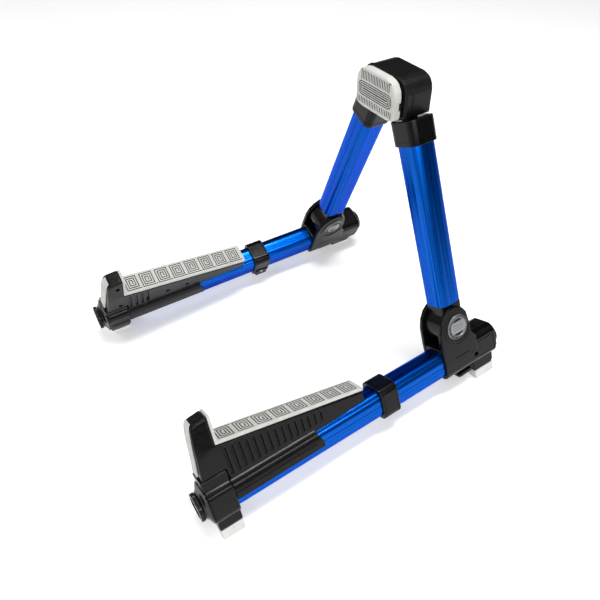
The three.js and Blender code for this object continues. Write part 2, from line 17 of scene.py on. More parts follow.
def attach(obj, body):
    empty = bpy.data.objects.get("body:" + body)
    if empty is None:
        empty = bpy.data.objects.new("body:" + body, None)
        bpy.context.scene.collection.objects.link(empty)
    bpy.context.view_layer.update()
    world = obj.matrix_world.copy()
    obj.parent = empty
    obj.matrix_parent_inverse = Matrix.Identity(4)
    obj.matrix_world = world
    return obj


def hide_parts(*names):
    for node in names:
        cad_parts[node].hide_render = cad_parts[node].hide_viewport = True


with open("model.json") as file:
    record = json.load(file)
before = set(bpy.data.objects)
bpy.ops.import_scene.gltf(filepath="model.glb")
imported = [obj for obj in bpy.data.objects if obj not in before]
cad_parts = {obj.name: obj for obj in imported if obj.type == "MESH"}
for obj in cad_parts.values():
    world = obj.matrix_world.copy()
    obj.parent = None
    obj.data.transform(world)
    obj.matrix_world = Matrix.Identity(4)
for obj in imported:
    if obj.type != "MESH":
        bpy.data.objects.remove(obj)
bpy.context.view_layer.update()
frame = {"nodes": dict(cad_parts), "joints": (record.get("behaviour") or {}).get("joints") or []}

MM = 0.001
GAP = 0.3  # clearance between neighbouring pieces
MERGE = 0.0005  # points of a drawing closer than this become one
SHARP = math.radians(38)  # edges sharper than this stay crisp in the shading

JOINTS = {joint["name"]: joint for joint in frame["joints"]}
Span = namedtuple("Span", "n0 f0 v0 n1 f1 v1")


# ---------------------------------------------------------------- the frame's own axes

class Place:
    """Where a drawn piece goes: a matrix from its drawing, in millimetres, to the stand, in metres."""

    def __init__(self, prefix, matrix):
        self.prefix = prefix
        self.matrix = matrix

    def span(self, node):
        """Lowest and highest corner of a CAD node, in the drawing's millimetres."""
        inverse = self.matrix.inverted()
        points = [inverse @ vertex.co for vertex in frame["nodes"][node].data.vertices]
        low = [min(point[axis] for point in points) for axis in range(3)]
        high = [max(point[axis] for point in points) for axis in range(3)]
        return Span(*low, *high)


def leg_place(side, sign):
    fold = JOINTS[side + "_base_fold"]
    outward = Vector(fold["axis"]).normalized() * -sign
    forward = (outward.cross(Vector((0, 0, 1))) * sign).normalized()
    up = forward.cross(outward) * sign
    matrix = Matrix((outward, forward, up)).transposed().to_4x4() @ Matrix.Scale(MM, 4)
    matrix.translation = Vector(fold["pos_m"])
    return Place(side + "_", matrix)


RIGHT = leg_place("right", 1)
LEFT = leg_place("left", -1)
HEAD = Place("", Matrix.Scale(MM, 4))


def size(node):
    return RIGHT.span("right_" + node)


def centre_along(axis, span):
    """The middle of a span, seen along n or f."""
    n, f, v = ((span[i] + span[i + 3]) / 2 for i in range(3))
    return (f, v) if axis == "n" else (n, v)


# ---------------------------------------------------------------- outlines

def turn_of(outline):
    """1 for an outline that runs anticlockwise, -1 for one that runs clockwise."""
    pairs = zip(outline, outline[1:] + outline[:1])
    return 1 if sum(a[0] * b[1] - b[0] * a[1] for a, b in pairs) > 0 else -1


def inset(outline, distance):
    """The outline moved inwards, with as many points as before."""
    turn = turn_of(outline)
    points = [Vector(point[:2]) for point in outline]
    moved = []
    for i, point in enumerate(points):
        before = (point - points[i - 1]).normalized()
        after = (points[(i + 1) % len(points)] - point).normalized()
        inward = Vector((-before.y - after.y, before.x + after.x)).normalized() * turn
        reach = max(0.35, inward.dot(Vector((-before.y, before.x))) * turn)
        moved.append(tuple(point + inward * (distance / reach)))
    return moved


def fillet(corners, radius, steps=4):
    """The outline with an arc at each corner. A corner's third value is a radius of its own."""
    rounded = []
    for i, corner in enumerate(corners):
        here = Vector(corner[:2])
        before = Vector(corners[i - 1][:2]) - here
        after = Vector(corners[(i + 1) % len(corners)][:2]) - here
        own = corner[2] if len(corner) > 2 else radius
        half = before.angle(after) / 2
        if own <= 0 or half > math.radians(88):
            rounded.append(tuple(here))
            continue
        reach = min(own / math.tan(half), 0.48 * before.length, 0.48 * after.length)
        start = here + before.normalized() * reach
        end = here + after.normalized() * reach
        middle = (before.normalized() + after.normalized()).normalized()
        centre = here + middle * (reach / math.cos(half))
        first, last = start - centre, end - centre
        sweep = math.atan2(first.cross(last), first.dot(last))
        for step in range(steps + 1):
            rounded.append(tuple(centre + Matrix.Rotation(sweep * step / steps, 2) @ first))
    return rounded


def soft(corners, radius, steps=4):
    """A filleted outline as a function: its points at any distance inwards."""
    flat = [tuple(corner[:2]) for corner in corners]
    turn = turn_of(flat)
    radii = [corner[2] if len(corner) > 2 else radius for corner in corners]

    def at(distance):
        ring = []
        for i, (a, b) in enumerate(inset(flat, distance)):
            before = Vector(flat[i]) - Vector(flat[i - 1])
            after = Vector(flat[(i + 1) % len(flat)]) - Vector(flat[i])
            outer_corner = before.cross(after) * turn > 0
            own = radii[i] - distance if outer_corner else radii[i] + distance
            ring.append((a, b, max(own, 0.02) if radii[i] > 0 else 0))
        return fillet(ring, 0, steps)

    return at


def symmetric(right):
    """An outline from its right half."""
    return right + [(-corner[0], *corner[1:]) for corner in reversed(right)]


def rectangle(a0, a1, b0, b1, radius=0.0, steps=5):
    return fillet([(a1, b0), (a1, b1), (a0, b1), (a0, b0)], radius, steps)


def circle(radius, centre=(0.0, 0.0), count=48):
    angles = [2 * math.pi * i / count for i in range(count)]
    return [(centre[0] + radius * math.cos(t), centre[1] + radius * math.sin(t)) for t in angles]


def superellipse(half_a, half_b, centre_b=0.0, count=320):
    """The tubes' four-sided section, with its points at even distances."""
    power = 0.6
    samples = 2400
    fine = []
    for i in range(samples):
        c = math.cos(2 * math.pi * i / samples)
        s = math.sin(2 * math.pi * i / samples)
        fine.append((
            half_a * math.copysign(abs(c) ** power, c),
            centre_b + half_b * math.copysign(abs(s) ** power, s),
        ))
    lengths = [0.0]
    for a, b in zip(fine, fine[1:] + fine[:1]):
        lengths.append(lengths[-1] + math.dist(a, b))
    even, at = [], 0
    for i in range(count):
        goal = lengths[-1] * i / count
        while lengths[at + 1] < goal:
            at += 1
        even.append(fine[at])
    return even


def ways(points):
    """The directions in which an open path reaches and leaves each of its points."""
    steps = [(b - a).normalized() for a, b in zip(points, points[1:])]
    return zip([steps[0]] + steps, steps + [steps[-1]])


def stroke(path, width):
    """The outline of a line of that width along a path of right-angled turns."""
    points = [Vector(point) for point in path]
    overrun = {0: -width / 2, len(points) - 1: width / 2}
    left, right = [], []
    for i, (before, after) in enumerate(ways(points)):
        across = Vector((-before.y - after.y, before.x + after.x)).normalized()
        reach = width / 2 / across.dot(Vector((-before.y, before.x)))
        middle = points[i] + before * overrun.get(i, 0.0)
        left.append(tuple(middle + across * reach))
        right.append(tuple(middle - across * reach))
    return left + right[::-1]


# ---------------------------------------------------------------- solids

def put(axis, a, b, depth):
    """A point of an outline that lies across an axis: n takes (f, v), f takes (n, v), v takes (n, f)."""
    return {"n": (depth, a, b), "f": (a, depth, b), "v": (a, b, depth)}[axis]


def to_mesh(bm):
    bm.normal_update()
    wide = [face for face in bm.faces if len(face.verts) > 4]
    bmesh.ops.triangulate(bm, faces=wide)
    bmesh.ops.recalc_face_normals(bm, faces=bm.faces)
    if bm.calc_volume(signed=True) < 0:
        bmesh.ops.reverse_faces(bm, faces=bm.faces)
    mesh = bpy.data.meshes.new("drawn")
    bm.to_mesh(mesh)
    bm.free()
    return mesh


def loft(rings, closed=False):
    """A skin through rings of points, capped at both ends or closed back onto the first ring."""
    bm = bmesh.new()
    rows = [[bm.verts.new(point) for point in ring] for ring in rings]
    pairs = list(zip(rows, rows[1:])) + ([(rows[-1], rows[0])] if closed else [])
    for low, high in pairs:
        for i in range(len(low)):
            j = (i + 1) % len(low)
            bm.faces.new((low[i], low[j], high[j], high[i]))
    if not closed:
        bm.faces.new(rows[0])
        bm.faces.new(rows[-1])
    return to_mesh(bm)


def rim(radius, steps=4):
    """Insets and depths of a quarter-round rim, from the end face to the side."""
    if radius <= 0:
        return [(0.0, 0.0)]
    angles = [math.pi / 2 * step / steps for step in range(steps + 1)]
    return [(radius * (1 - math.sin(t)), radius * (1 - math.cos(t))) for t in angles]


def prism(outline, axis, low, high, edge=0.0, low_edge=None):
    """A solid of one outline from low to high along an axis, its end rims rounded."""
    at = outline if callable(outline) else lambda distance: inset(outline, distance)
    rings = []
    for inward, depth in rim(edge if low_edge is None else low_edge):
        rings.append([put(axis, a, b, low + depth) for a, b in at(inward)])
    for inward, depth in reversed(rim(edge)):
        rings.append([put(axis, a, b, high - depth) for a, b in at(inward)])
    return loft(rings)


def ribbon(path, near, far):
    """The outline between two lines that run beside an open path, on its right-hand side."""
    points = [Vector(point) for point in path]
    sides = ([], [])
    for point, (before, after) in zip(points, ways(points)):
        way = (before + after).normalized()
        across = Vector((way.y, -way.x))
        for side, reach in zip(sides, (near, far)):
            side.append(tuple(point + across * reach))
    return sides[0] + sides[1][::-1]


def block(n0, n1, f0, f1, v0, v1):
    return prism(rectangle(n0, n1, f0, f1), "v", v0, v1)


def cross_cut(axis, centre, reach, arm, low, high):
    """A screwdriver's cross recess, as a solid to cut with."""
    corners = [Vector((reach, -arm)), Vector((reach, arm)), Vector((arm, arm))]
    outline = []
    for quarter in range(4):
        turn = Matrix.Rotation(math.pi / 2 * quarter, 2)
        outline += [tuple(Vector(centre) + turn @ corner) for corner in corners]
    return prism(outline, axis, low, high)


def disc(radius, axis, low, high, centre=(0.0, 0.0), edge=0.0, count=48):
    return prism(circle(radius, centre, count), axis, low, high, edge)


def pipe(outer, inner, axis, low, high):
    rings = [(outer, low), (outer, high), (inner, high), (inner, low)]
    return loft([[put(axis, a, b, depth) for a, b in ring] for ring, depth in rings], closed=True)


def turned(profile, axis, centre=(0.0, 0.0), count=64):
    """A lathe-turned solid: the profile gives radius and depth from one end face to the other."""
    rings = []
    for radius, depth in profile:
        rings.append([put(axis, a, b, depth) for a, b in circle(radius, centre, count)])
    return loft(rings)


def together(meshes):
    """Meshes that don't overlap, as one mesh. Each keeps its own material number."""
    bm = bmesh.new()
    for mesh in meshes:
        bm.from_mesh(mesh)
    mesh = bpy.data.meshes.new("together")
    bm.to_mesh(mesh)
    bm.free()
    return mesh


def carve(base, join=(), keep=(), cut=()):
    """The base with solids joined to it, met with it and then cut from it."""
    steps = [("UNION", tool) for tool in join]
    steps += [("INTERSECT", tool) for tool in keep]
    steps += [("DIFFERENCE", tool) for tool in cut]
    objects = [bpy.data.objects.new("work", mesh) for mesh in [base] + [tool for _, tool in steps]]
    for work in objects:
        bpy.context.scene.collection.objects.link(work)
    for (operation, _), tool in zip(steps, objects[1:]):
        modifier = objects[0].modifiers.new("carve", "BOOLEAN")
        modifier.operation = operation
        modifier.solver = "MANIFOLD"
        modifier.object = tool
    graph = bpy.context.evaluated_depsgraph_get()
    result = bpy.data.meshes.new_from_object(objects[0].evaluated_get(graph))
    for work in objects:
        bpy.data.objects.remove(work)
    return cleaned(result)


def cleaned(mesh):
    mesh.materials.clear()
    bm = bmesh.new()
    bm.from_mesh(mesh)
    bmesh.ops.remove_doubles(bm, verts=bm.verts, dist=MERGE)
    bm.to_mesh(mesh)
    bm.free()
    return mesh


def moved(mesh, reshape):
    """A copy of the mesh with each point sent where reshape puts it."""
    copy = mesh.copy()
    for vertex in copy.vertices:
        vertex.co = reshape(*vertex.co)
    return copy


def mirrored(mesh):
    """The mesh on the other side of the middle plane."""
    copy = moved(mesh, lambda n, f, v: (-n, f, v))
    copy.flip_normals()
    return copy


def both_sides(*meshes):
    """The meshes and their mirror images."""
    return [*meshes, *(mirrored(mesh) for mesh in meshes)]


def sliced(mesh, height):
    """The mesh with an edge loop at a height."""
    bm = bmesh.new()
    bm.from_mesh(mesh)
    everything = bm.verts[:] + bm.edges[:] + bm.faces[:]
    bmesh.ops.bisect_plane(bm, geom=everything, plane_co=(0, 0, height), plane_no=(0, 0, 1))
    bm.to_mesh(mesh)
    bm.free()
    return mesh


def paint(mesh, number, chosen):
    """Gives a material number to the faces whose centre and normal pass the test."""
    numbers = mesh.attributes.get("material_index")
    if numbers is None:
        numbers = mesh.attributes.new("material_index", "INT", "FACE")
    for face in mesh.polygons:
        if chosen(face.center, face.normal):
            numbers.data[face.index].value = number
    return mesh


# ---------------------------------------------------------------- placing pieces

def place(mesh, node, where, body, materials, grain="f", bevel=0.0):
    """Puts a drawn piece in the stand, in place of the CAD node that it stands for."""
    mesh = mesh.copy()
    drawn = [vertex.co.copy() for vertex in mesh.vertices]
    order = {"n": (1, 2, 0), "f": (0, 2, 1), "v": (0, 1, 2)}[grain]
    local = mesh.attributes.new("local", "FLOAT_VECTOR", "POINT")
    along = mesh.attributes.new("grain", "FLOAT_VECTOR", "POINT")
    for i, point in enumerate(drawn):
        local.data[i].vector = point
        along.data[i].vector = [point[axis] for axis in order]
    mesh.transform(where.matrix)
    if where.matrix.determinant() < 0:
        mesh.flip_normals()
    for material in materials:
        mesh.materials.append(material)
    mesh.shade_smooth()
    mesh.set_sharp_from_angle(angle=SHARP)
    piece = bpy.data.objects.new(where.prefix + node + "_detailed", mesh)
    bpy.context.scene.collection.objects.link(piece)
    if bevel:
        add_bevel(piece, bevel)
    weighted = piece.modifiers.new("even_shading", "WEIGHTED_NORMAL")
    weighted.keep_sharp = True
    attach(piece, where.prefix + body)
    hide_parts(where.prefix + node)
    return piece


def add_bevel(piece, width):
    bevel = piece.modifiers.new("broken_edges", "BEVEL")
    bevel.width = width * MM
    bevel.segments = 2
    bevel.limit_method = "ANGLE"
    bevel.angle_limit = SHARP
    bevel.use_clamp_overlap = True


def on_both_legs(mesh, node, body, slot, *materials, grain="f", bevel=0.0):
    for where in (RIGHT, LEFT):
        place(mesh, node, where, body, materials, grain, bevel)


def refinish(node, *materials, bevel=0.0):
    """Keeps a CAD node and gives it a better material and broken edges."""
    piece = frame["nodes"][node]
    piece.data.materials.clear()
    for material in materials:
        piece.data.materials.append(material)
    if bevel:
        add_bevel(piece, bevel)


# ---------------------------------------------------------------- materials

def new_material(name):
    material = bpy.data.materials.new(name)
    material.use_nodes = True
    return material, material.node_tree, material.node_tree.nodes["Principled BSDF"]


def feed(tree, node, inputs):
    """Links or sets a node's inputs, by name or number."""
    for name, value in inputs.items():
        if isinstance(value, bpy.types.NodeSocket):
            tree.links.new(value, node.inputs[name])
        else:
            node.inputs[name].default_value = value


def add(tree, kind, inputs=None, **settings):
    node = tree.nodes.new(kind)
    for name, value in settings.items():
        setattr(node, name, value)
    feed(tree, node, inputs or {})
    return node


def drawn_at(tree, attribute="local", scale=(1.0, 1.0, 1.0)):
    """The place on the drawing, in millimetres, stretched by a scale."""
    source = add(tree, "ShaderNodeAttribute", attribute_name=attribute)
    return add(
        tree, "ShaderNodeVectorMath", {0: source.outputs["Vector"], 1: scale}, operation="MULTIPLY"
    ).outputs[0]


def noise(tree, where, scale, detail=3.0, roughness=0.5):
    inputs = {"Vector": where, "Scale": scale, "Detail": detail, "Roughness": roughness}
    return add(tree, "ShaderNodeTexNoise", inputs).outputs["Fac"]


def ramp(tree, value, low, high, to_low, to_high):
    inputs = {"Value": value, "From Min": low, "From Max": high, "To Min": to_low, "To Max": to_high}
    return add(tree, "ShaderNodeMapRange", inputs).outputs["Result"]


def mix(tree, share, first, second):
    return add(tree, "ShaderNodeMix", {0: share, 6: first, 7: second}, data_type="RGBA").outputs[2]


def bump(tree, height, depth, strength=1.0, below=None):
    inputs = {"Height": height, "Distance": depth * MM, "Strength": strength}
    if below is not None:
        inputs["Normal"] = below
    return add(tree, "ShaderNodeBump", inputs).outputs["Normal"]


def anodised():
    """Drawn aluminium, dyed blue: fine lines along the tube and a clear oxide skin."""
    material, tree, shader = new_material("blue_anodised")
    lines = noise(tree, drawn_at(tree, "grain", (1.0, 1.0, 0.0015)), 4.0, 3.0, 0.6)
    streaks = noise(tree, drawn_at(tree, "grain", (1.0, 1.0, 0.001)), 0.7, 2.0)
    mottle = noise(tree, drawn_at(tree, "grain"), 0.05, 3.0)
    streaked = ramp(tree, streaks, 0.3, 0.7, 0.0, 1.0)
    dye = mix(tree, streaked, (0.0, 0.058, 0.34, 1), (0.001, 0.108, 0.55, 1))
    dye = mix(tree, ramp(tree, mottle, 0.35, 0.65, 0.0, 0.12), dye, (0.0, 0.04, 0.28, 1))
    feed(tree, shader, {
        "Base Color": dye,
        "Metallic": 1.0,
        "Roughness": ramp(tree, lines, 0.3, 0.7, 0.24, 0.32),
        "Normal": bump(tree, lines, 0.006, 0.35),
        "Specular Tint": (0.03, 0.40, 1.0, 1),
        "Coat Weight": 0.12,
        "Coat Roughness": 0.05,
    })
    return material


def moulded(name, shade, rough, grain_depth, coat=0.0, grain_scale=2.2):
    """Black injection-moulded plastic: fine spark-eroded grain, flow marks and slightly worn sheen."""
    material, tree, shader = new_material(name)
    grain = noise(tree, drawn_at(tree), grain_scale, 3.0, 0.6)
    flow = noise(tree, drawn_at(tree), 0.06, 4.0, 0.6)
    rubbed = noise(tree, drawn_at(tree, "local", (0.6, 0.25, 0.6)), 0.35, 5.0, 0.65)
    colour = mix(
        tree, ramp(tree, flow, 0.3, 0.7, 0.0, 1.0),
        (shade * 0.85, shade * 0.87, shade * 0.92, 1), (shade * 1.25, shade * 1.25, shade * 1.28, 1),
    )
    from_grain = ramp(tree, grain, 0.3, 0.7, -0.05, 0.05)
    from_wear = ramp(tree, rubbed, 0.35, 0.7, rough - 0.05, rough + 0.06)
    uneven = add(tree, "ShaderNodeMath", {0: from_grain, 1: from_wear}, operation="ADD").outputs[0]
    feed(tree, shader, {
        "Base Color": colour,
        "Roughness": uneven,
        "Specular IOR Level": 0.18,
        "Normal": bump(tree, grain, grain_depth, 0.6),
        "Coat Weight": coat,
        "Coat Roughness": 0.18,
    })
    return material


def rubber(name, light, dark, rough=0.62):
    """Soft light thermoplastic rubber: matt, slightly dusty, darker in random clouds and flecks. Made with
    dark colours, it is the painted shade in the grooves.
    """
    material, tree, shader = new_material(name)
    grain = noise(tree, drawn_at(tree), 1.8, 4.0, 0.6)
    cloudy = noise(tree, drawn_at(tree), 0.09, 4.0, 0.55)
    colour = mix(tree, ramp(tree, cloudy, 0.35, 0.7, 0.0, 1.0), light, dark)
    colour = mix(tree, ramp(tree, grain, 0.3, 0.75, 0.0, 0.12), colour, dark)
    feed(tree, shader, {
        "Base Color": colour,
        "Roughness": ramp(tree, grain, 0.3, 0.7, rough - 0.06, rough + 0.08),
        "Specular IOR Level": 0.4,
        "Sheen Weight": 0.06,
        "Normal": bump(tree, grain, 0.05, 0.5),
    })
    return material


def metal(name, colour, rough, brushed=0.02):
    """Bare or plated steel with fine turning marks."""
    material, tree, shader = new_material(name)
    marks = noise(tree, drawn_at(tree, "local", (0.15, 1.0, 1.0)), 3.0, 4.0, 0.65)
    tint = mix(tree, ramp(tree, marks, 0.3, 0.7, 0.0, 0.25), colour, (0.30, 0.31, 0.33, 1))
    feed(tree, shader, {
        "Base Color": tint,
        "Metallic": 1.0,
        "Roughness": ramp(tree, marks, 0.3, 0.7, rough - 0.05, rough + 0.08),
        "Normal": bump(tree, marks, brushed, 0.5),
    })
    return material


def plain_floor():
    """Pale matt paper with the faintest mottle and glow; its colour turns greyer far from the stand, a
    painted shade for the light falling off.
    """
    material, tree, shader = new_material("pale_floor")
    place_on = add(tree, "ShaderNodeTexCoord").outputs["Object"]
    cloudy = noise(tree, place_on, 1.5, 3.0)
    away = add(tree, "ShaderNodeVectorMath", {0: place_on}, operation="LENGTH").outputs["Value"]
    near = mix(tree, cloudy, (0.93, 0.93, 0.93, 1), (0.95, 0.95, 0.95, 1))
    feed(tree, shader, {
        # Painted shade: the colour darkens between 2.3 m and 5 m from the stand, in place of the light
        # falling off.
        "Base Color": mix(tree, ramp(tree, away, 2.3, 5.0, 0.0, 1.0), near, (0.74, 0.74, 0.75, 1)),
        "Roughness": ramp(tree, cloudy, 0.3, 0.7, 0.78, 0.86),
        "Specular IOR Level": 0.15,
        "Emission Color": (1.0, 1.0, 1.0, 1),
        "Emission Strength": 0.3,
    })
    return material


BLUE = anodised()
BLACK = moulded("black_plastic_grained", 0.0035, 0.24, 0.025)
SATIN = moulded("black_plastic_satin", 0.003, 0.2, 0.015)
GLOSS = moulded("black_plastic_polished", 0.003, 0.16, 0.008, coat=0.3)
MATT = moulded("black_plastic_matt", 0.005, 0.44, 0.09, grain_scale=1.4)
RUBBER = rubber("light_rubber", (0.56, 0.56, 0.525, 1), (0.48, 0.48, 0.45, 1))
# Painted shade: a near-black rubber colour for the floors and walls of the pads' grooves, darkening them
# where shade falls.
PAINTED_GROOVE_SHADE = rubber("light_rubber_painted_groove_shade", (0.07, 0.07, 0.065, 1), (0.045, 0.045, 0.042, 1), 0.8)
SOLE = rubber("light_rubber_soles", (0.66, 0.66, 0.64, 1), (0.56, 0.56, 0.54, 1), 0.55)
SILVER = metal("silver_badge", (0.34, 0.345, 0.355, 1), 0.38)
STEEL = metal("bright_steel", (0.62, 0.63, 0.65, 1), 0.24)
INLAY = moulded("black_inlay", 0.006, 0.25, 0.01)


# ---------------------------------------------------------------- tubes

BASE = size("base_tube")
AXIS = (BASE.v0 + BASE.v1) / 2  # height of the base tube's axis
TUBE_N = (BASE.n1 - BASE.n0) / 2
TUBE_V = (BASE.v1 - BASE.v0) / 2
WALL = 1.8
CROSS_ARM = 0.45  # half width of the slots in a cross recess
SCREW_WELL = 2.9  # radius of the wells for small screws


def soft_step(value, start, end):
    share = min(1.0, max(0.0, (value - start) / (end - start)))
    return share * share * (3 - 2 * share)


def tube_section(centre_b):
    """Four gently convex faces, each with a shallow channel, and a fine groove down each corner."""
    ring = superellipse(TUBE_N, TUBE_V, centre_b)
    corner = 0.5 ** 0.3  # where both sides of the superellipse are equally far out
    inner = inset(ring, 1.0)
    channel_depth, line_depth = 0.24, 0.45
    section = []
    for (a, b), (inner_a, inner_b) in zip(ring, inner):
        to_middle = min(abs(a), abs(b - centre_b))
        channel = channel_depth * (1 - soft_step(to_middle, 2.6, 5.2))
        off_corner = math.dist((abs(a), abs(b - centre_b)), (TUBE_N * corner, TUBE_V * corner))
        line = line_depth * (1 - soft_step(off_corner, 0.15, 0.75))
        depth = channel + line
        section.append((a + (inner_a - a) * depth, b + (inner_b - b) * depth))
    return section


def tube_outline(extra, centre_b=0.0, count=96):
    return superellipse(TUBE_N + extra, TUBE_V + extra, centre_b, count)


def base_bore(low, high):
    """What a piece round the base tube leaves free for it."""
    return prism(tube_outline(GAP, AXIS), "f", low, high)


def round_axis(half_n, half_v, radius, steps=8):
    """A rounded rectangle in the middle of the base tube's section."""
    return rectangle(-half_n, half_n, AXIS - half_v, AXIS + half_v, radius, steps)


def narrowing_plug(sections, steps=8):
    """A skin through rounded rectangles, each given by its half sizes, radius and depth."""
    rings = []
    for half_n, half_v, radius, f in sections:
        rings.append([put("f", n, v, f) for n, v in round_axis(half_n, half_v, radius, steps)])
    return loft(rings)


def tubes():
    lean = size("upper_tube")
    bore = superellipse(TUBE_N - WALL, TUBE_V - WALL)
    base_inside = superellipse(TUBE_N - WALL, TUBE_V - WALL, AXIS)
    leg = pipe(tube_section(0.0), bore, "v", lean.v0, lean.v1)
    base = pipe(tube_section(AXIS), base_inside, "f", BASE.f0, BASE.f1)
    on_both_legs(leg, "upper_tube", "leg", "blue_anodised_tube", BLUE, grain="v")
    on_both_legs(base, "base_tube", "base", "blue_anodised_tube", BLUE, grain="f")


# ---------------------------------------------------------------- leg ends

def top_sleeve():
    """Cap on the top of a leg tube, open for the head's tongue."""
    sleeve = size("top_sleeve")
    tongue = size("head_knuckle")
    radius, roof = 8.0, 2.4
    outline = rectangle(sleeve.n0, sleeve.n1, sleeve.f0, sleeve.f1, radius, 7)
    shell = prism(outline, "v", sleeve.v0, sleeve.v1, 1.4, low_edge=0.7)
    socket = prism(tube_outline(GAP), "v", sleeve.v0 - 1, sleeve.v1 - roof)
    slot = block(-8.3, 2.3, tongue.f0 / 2 - 0.2, tongue.f1 / 2 + 0.2, sleeve.v1 - 10, sleeve.v1 + 2)
    waist = pipe(inset(outline, -1.0), inset(outline, 0.5), "v", sleeve.v0 + 4.6, sleeve.v0 + 5.4)
    corner = radius * (1 - 1 / math.sqrt(2))
    creases = []
    for sign_n in (-1, 1):
        for sign_f in (-1, 1):
            at = (sign_n * (sleeve.n1 - corner), sign_f * (sleeve.f1 - corner))
            creases.append(prism(circle(0.55, at, 12), "v", sleeve.v0 + 6.4, sleeve.v1 + 1))
    made = carve(shell, cut=[socket, slot, waist, together(creases)])
    on_both_legs(made, "top_sleeve", "leg", "black_plastic", SATIN, grain="v", bevel=0.2)


PIN_HOLE = 4.3  # radius of the fold pin's hole


def hinge_knuckle():
    """Round end of a leg between the ears of the hinge block, with the catch's notch."""
    knuckle = size("hinge_knuckle")
    radius = -knuckle.v0
    neck = 13.0
    collar = size("upper_tube").v0 - GAP
    start = math.asin(neck / radius)
    angles = [start + (2 * math.pi - 2 * start) * i / 56 for i in range(57)]
    outline = [(radius * math.sin(t), radius * math.cos(t)) for t in angles]
    outline = [(neck, collar)] + outline + [(-neck, collar)]
    barrel = prism(outline, "n", knuckle.n0, knuckle.n1, 1.2)
    plug = prism(tube_outline(-WALL - GAP), "v", collar - 1.5, knuckle.v1, 0.8)
    hole = disc(PIN_HOLE, "n", -20, 20)
    notch = prism([(-9.2, -15.2), (-13.4, -12.2), (-20, -18), (-13, -24)], "n", -9.5, 9.5)
    made = carve(barrel, join=[plug], cut=[hole, notch])
    on_both_legs(made, "hinge_knuckle", "leg", "black_plastic", SATIN, grain="v", bevel=0.2)


# ---------------------------------------------------------------- hinge block

EAR_IN = 12.8  # inner face of an ear
EAR_OUTLINE = fillet([
    (24.8, -44), (25.6, -20), (25.2, 0), (22.6, 10), (17, 19), (9, 24.6), (0, 25),
    (-10.6, 19), (-15, 13), (-17.2, 0), (-18, -14), (-24, -21), (-24, -44),
], 5.0, 4)


def ear_rings():
    """Two raised rings round the fold pin, on both ears."""
    within = prism(inset(EAR_OUTLINE, 1.8), "n", -20, 20)
    rings = []
    for radius in (19.6, 16.4):
        profile = [
            (radius - 0.6, 17.0), (radius + 0.6, 17.0), (radius + 0.35, 17.85), (radius - 0.35, 17.85),
        ]
        circles = [[(depth, a, b) for a, b in circle(wide, count=72)] for wide, depth in profile]
        rings += both_sides(carve(loft(circles, closed=True), keep=[within]))
    return rings


def latch_pin_hole():
    return disc(1.9, "n", -12, 12, (-14, -42), count=20)


def hinge_block():
    """Rear end of a base: a shell round the tube, two ears for the leg and the rear foot's shank."""
    hinge = size("hinge_block")
    foot = size("rear_foot")
    barrel_n = hinge.n1 - 0.2
    barrel = prism(
        rectangle(-barrel_n, barrel_n, -58, -20.5, 9.0, 8), "f", size("rear_cap").f1 + GAP, 24.8, 1.2,
    )
    ears = [
        prism(EAR_OUTLINE, "n", EAR_IN, hinge.n1, 1.5, low_edge=0.4),
        prism(EAR_OUTLINE, "n", hinge.n0, -EAR_IN, 0.4, low_edge=1.5),
    ]
    shank_n = foot.n1 + 0.4
    shank = prism(
        fillet([
            (foot.f0 - 0.4, -66), (foot.f0 + 2.6, hinge.v0), (foot.f1 + 0.4, hinge.v0),
            (foot.f1 + 2.4, -50), (foot.f0 - 1.6, -50),
        ], 1.2),
        "n", -shank_n, shank_n, 1.2,
    )
    window = prism(rectangle(-23, -17.4, -47, -42, 0.8), "n", 15, 20)
    creases = both_sides(
        block(hinge.n1 - 0.7, 20, -12, 11, -35.5, -34.7),
        block(hinge.n1 - 0.9, 20, -47, -24, -31.4, -30.6),
        block(hinge.n1 - 0.9, 20, -47, -24, -50.4, -49.6),
    )
    seam_floor = rectangle(-barrel_n + 0.6, barrel_n - 0.6, -57.4, -21.1, 8.4, 8)
    seam = pipe(rectangle(-20, 20, -62, -10, 9.0, 8), seam_floor, "f", -49.3, -48.5)
    bore = base_bore(BASE.f0 - GAP, 30)
    pin_hole = disc(PIN_HOLE, "n", -30, 30)
    knuckle_room = [
        disc(22.0, "n", -EAR_IN, EAR_IN, count=64), block(-EAR_IN, EAR_IN, -19, 40, -20, 40),
    ]
    badge_seats = [disc(14.7, "n", 16.1, 30, count=64), disc(12.7, "n", -30, -16.1, count=64)]
    latch_room = [
        block(-9.5, 9.5, -16.8, 8, -66, -50), block(-10, 10, -23, -8.6, -51.5, -10), latch_pin_hole(),
    ]
    free = [bore, *knuckle_room, pin_hole, *badge_seats, *latch_room]
    made = carve(
        barrel, join=[*ears, shank, *ear_rings()], cut=[*free, window, together(creases), seam],
    )
    on_both_legs(made, "hinge_block", "base", "black_plastic", SATIN, bevel=0.25)


def badge_crescents(dish, half, low, high):
    """What a dish has above and below a band of that half width."""
    crescents = []
    for side in (1, -1):
        outline = [point for point in circle(dish - 0.5, count=96) if side * point[1] > half + 0.5]
        crescents.append(prism(outline, "n", low, high))
    return crescents


def badge_ticks(radius, low, high):
    """Short radial slots, every fourth one wider."""
    count = 52
    ticks = []
    for i in range(count):
        angle = 2 * math.pi * i / count
        along = Vector((math.cos(angle), math.sin(angle)))
        across = Vector((-along.y, along.x)) * (0.42 if i % 4 else 0.6)
        near, far = along * (radius - 3.1), along * (radius - 1.0)
        corners = [near - across, far - across, far + across, near + across]
        ticks.append(prism([tuple(corner) for corner in corners], "n", low, high))
    return ticks


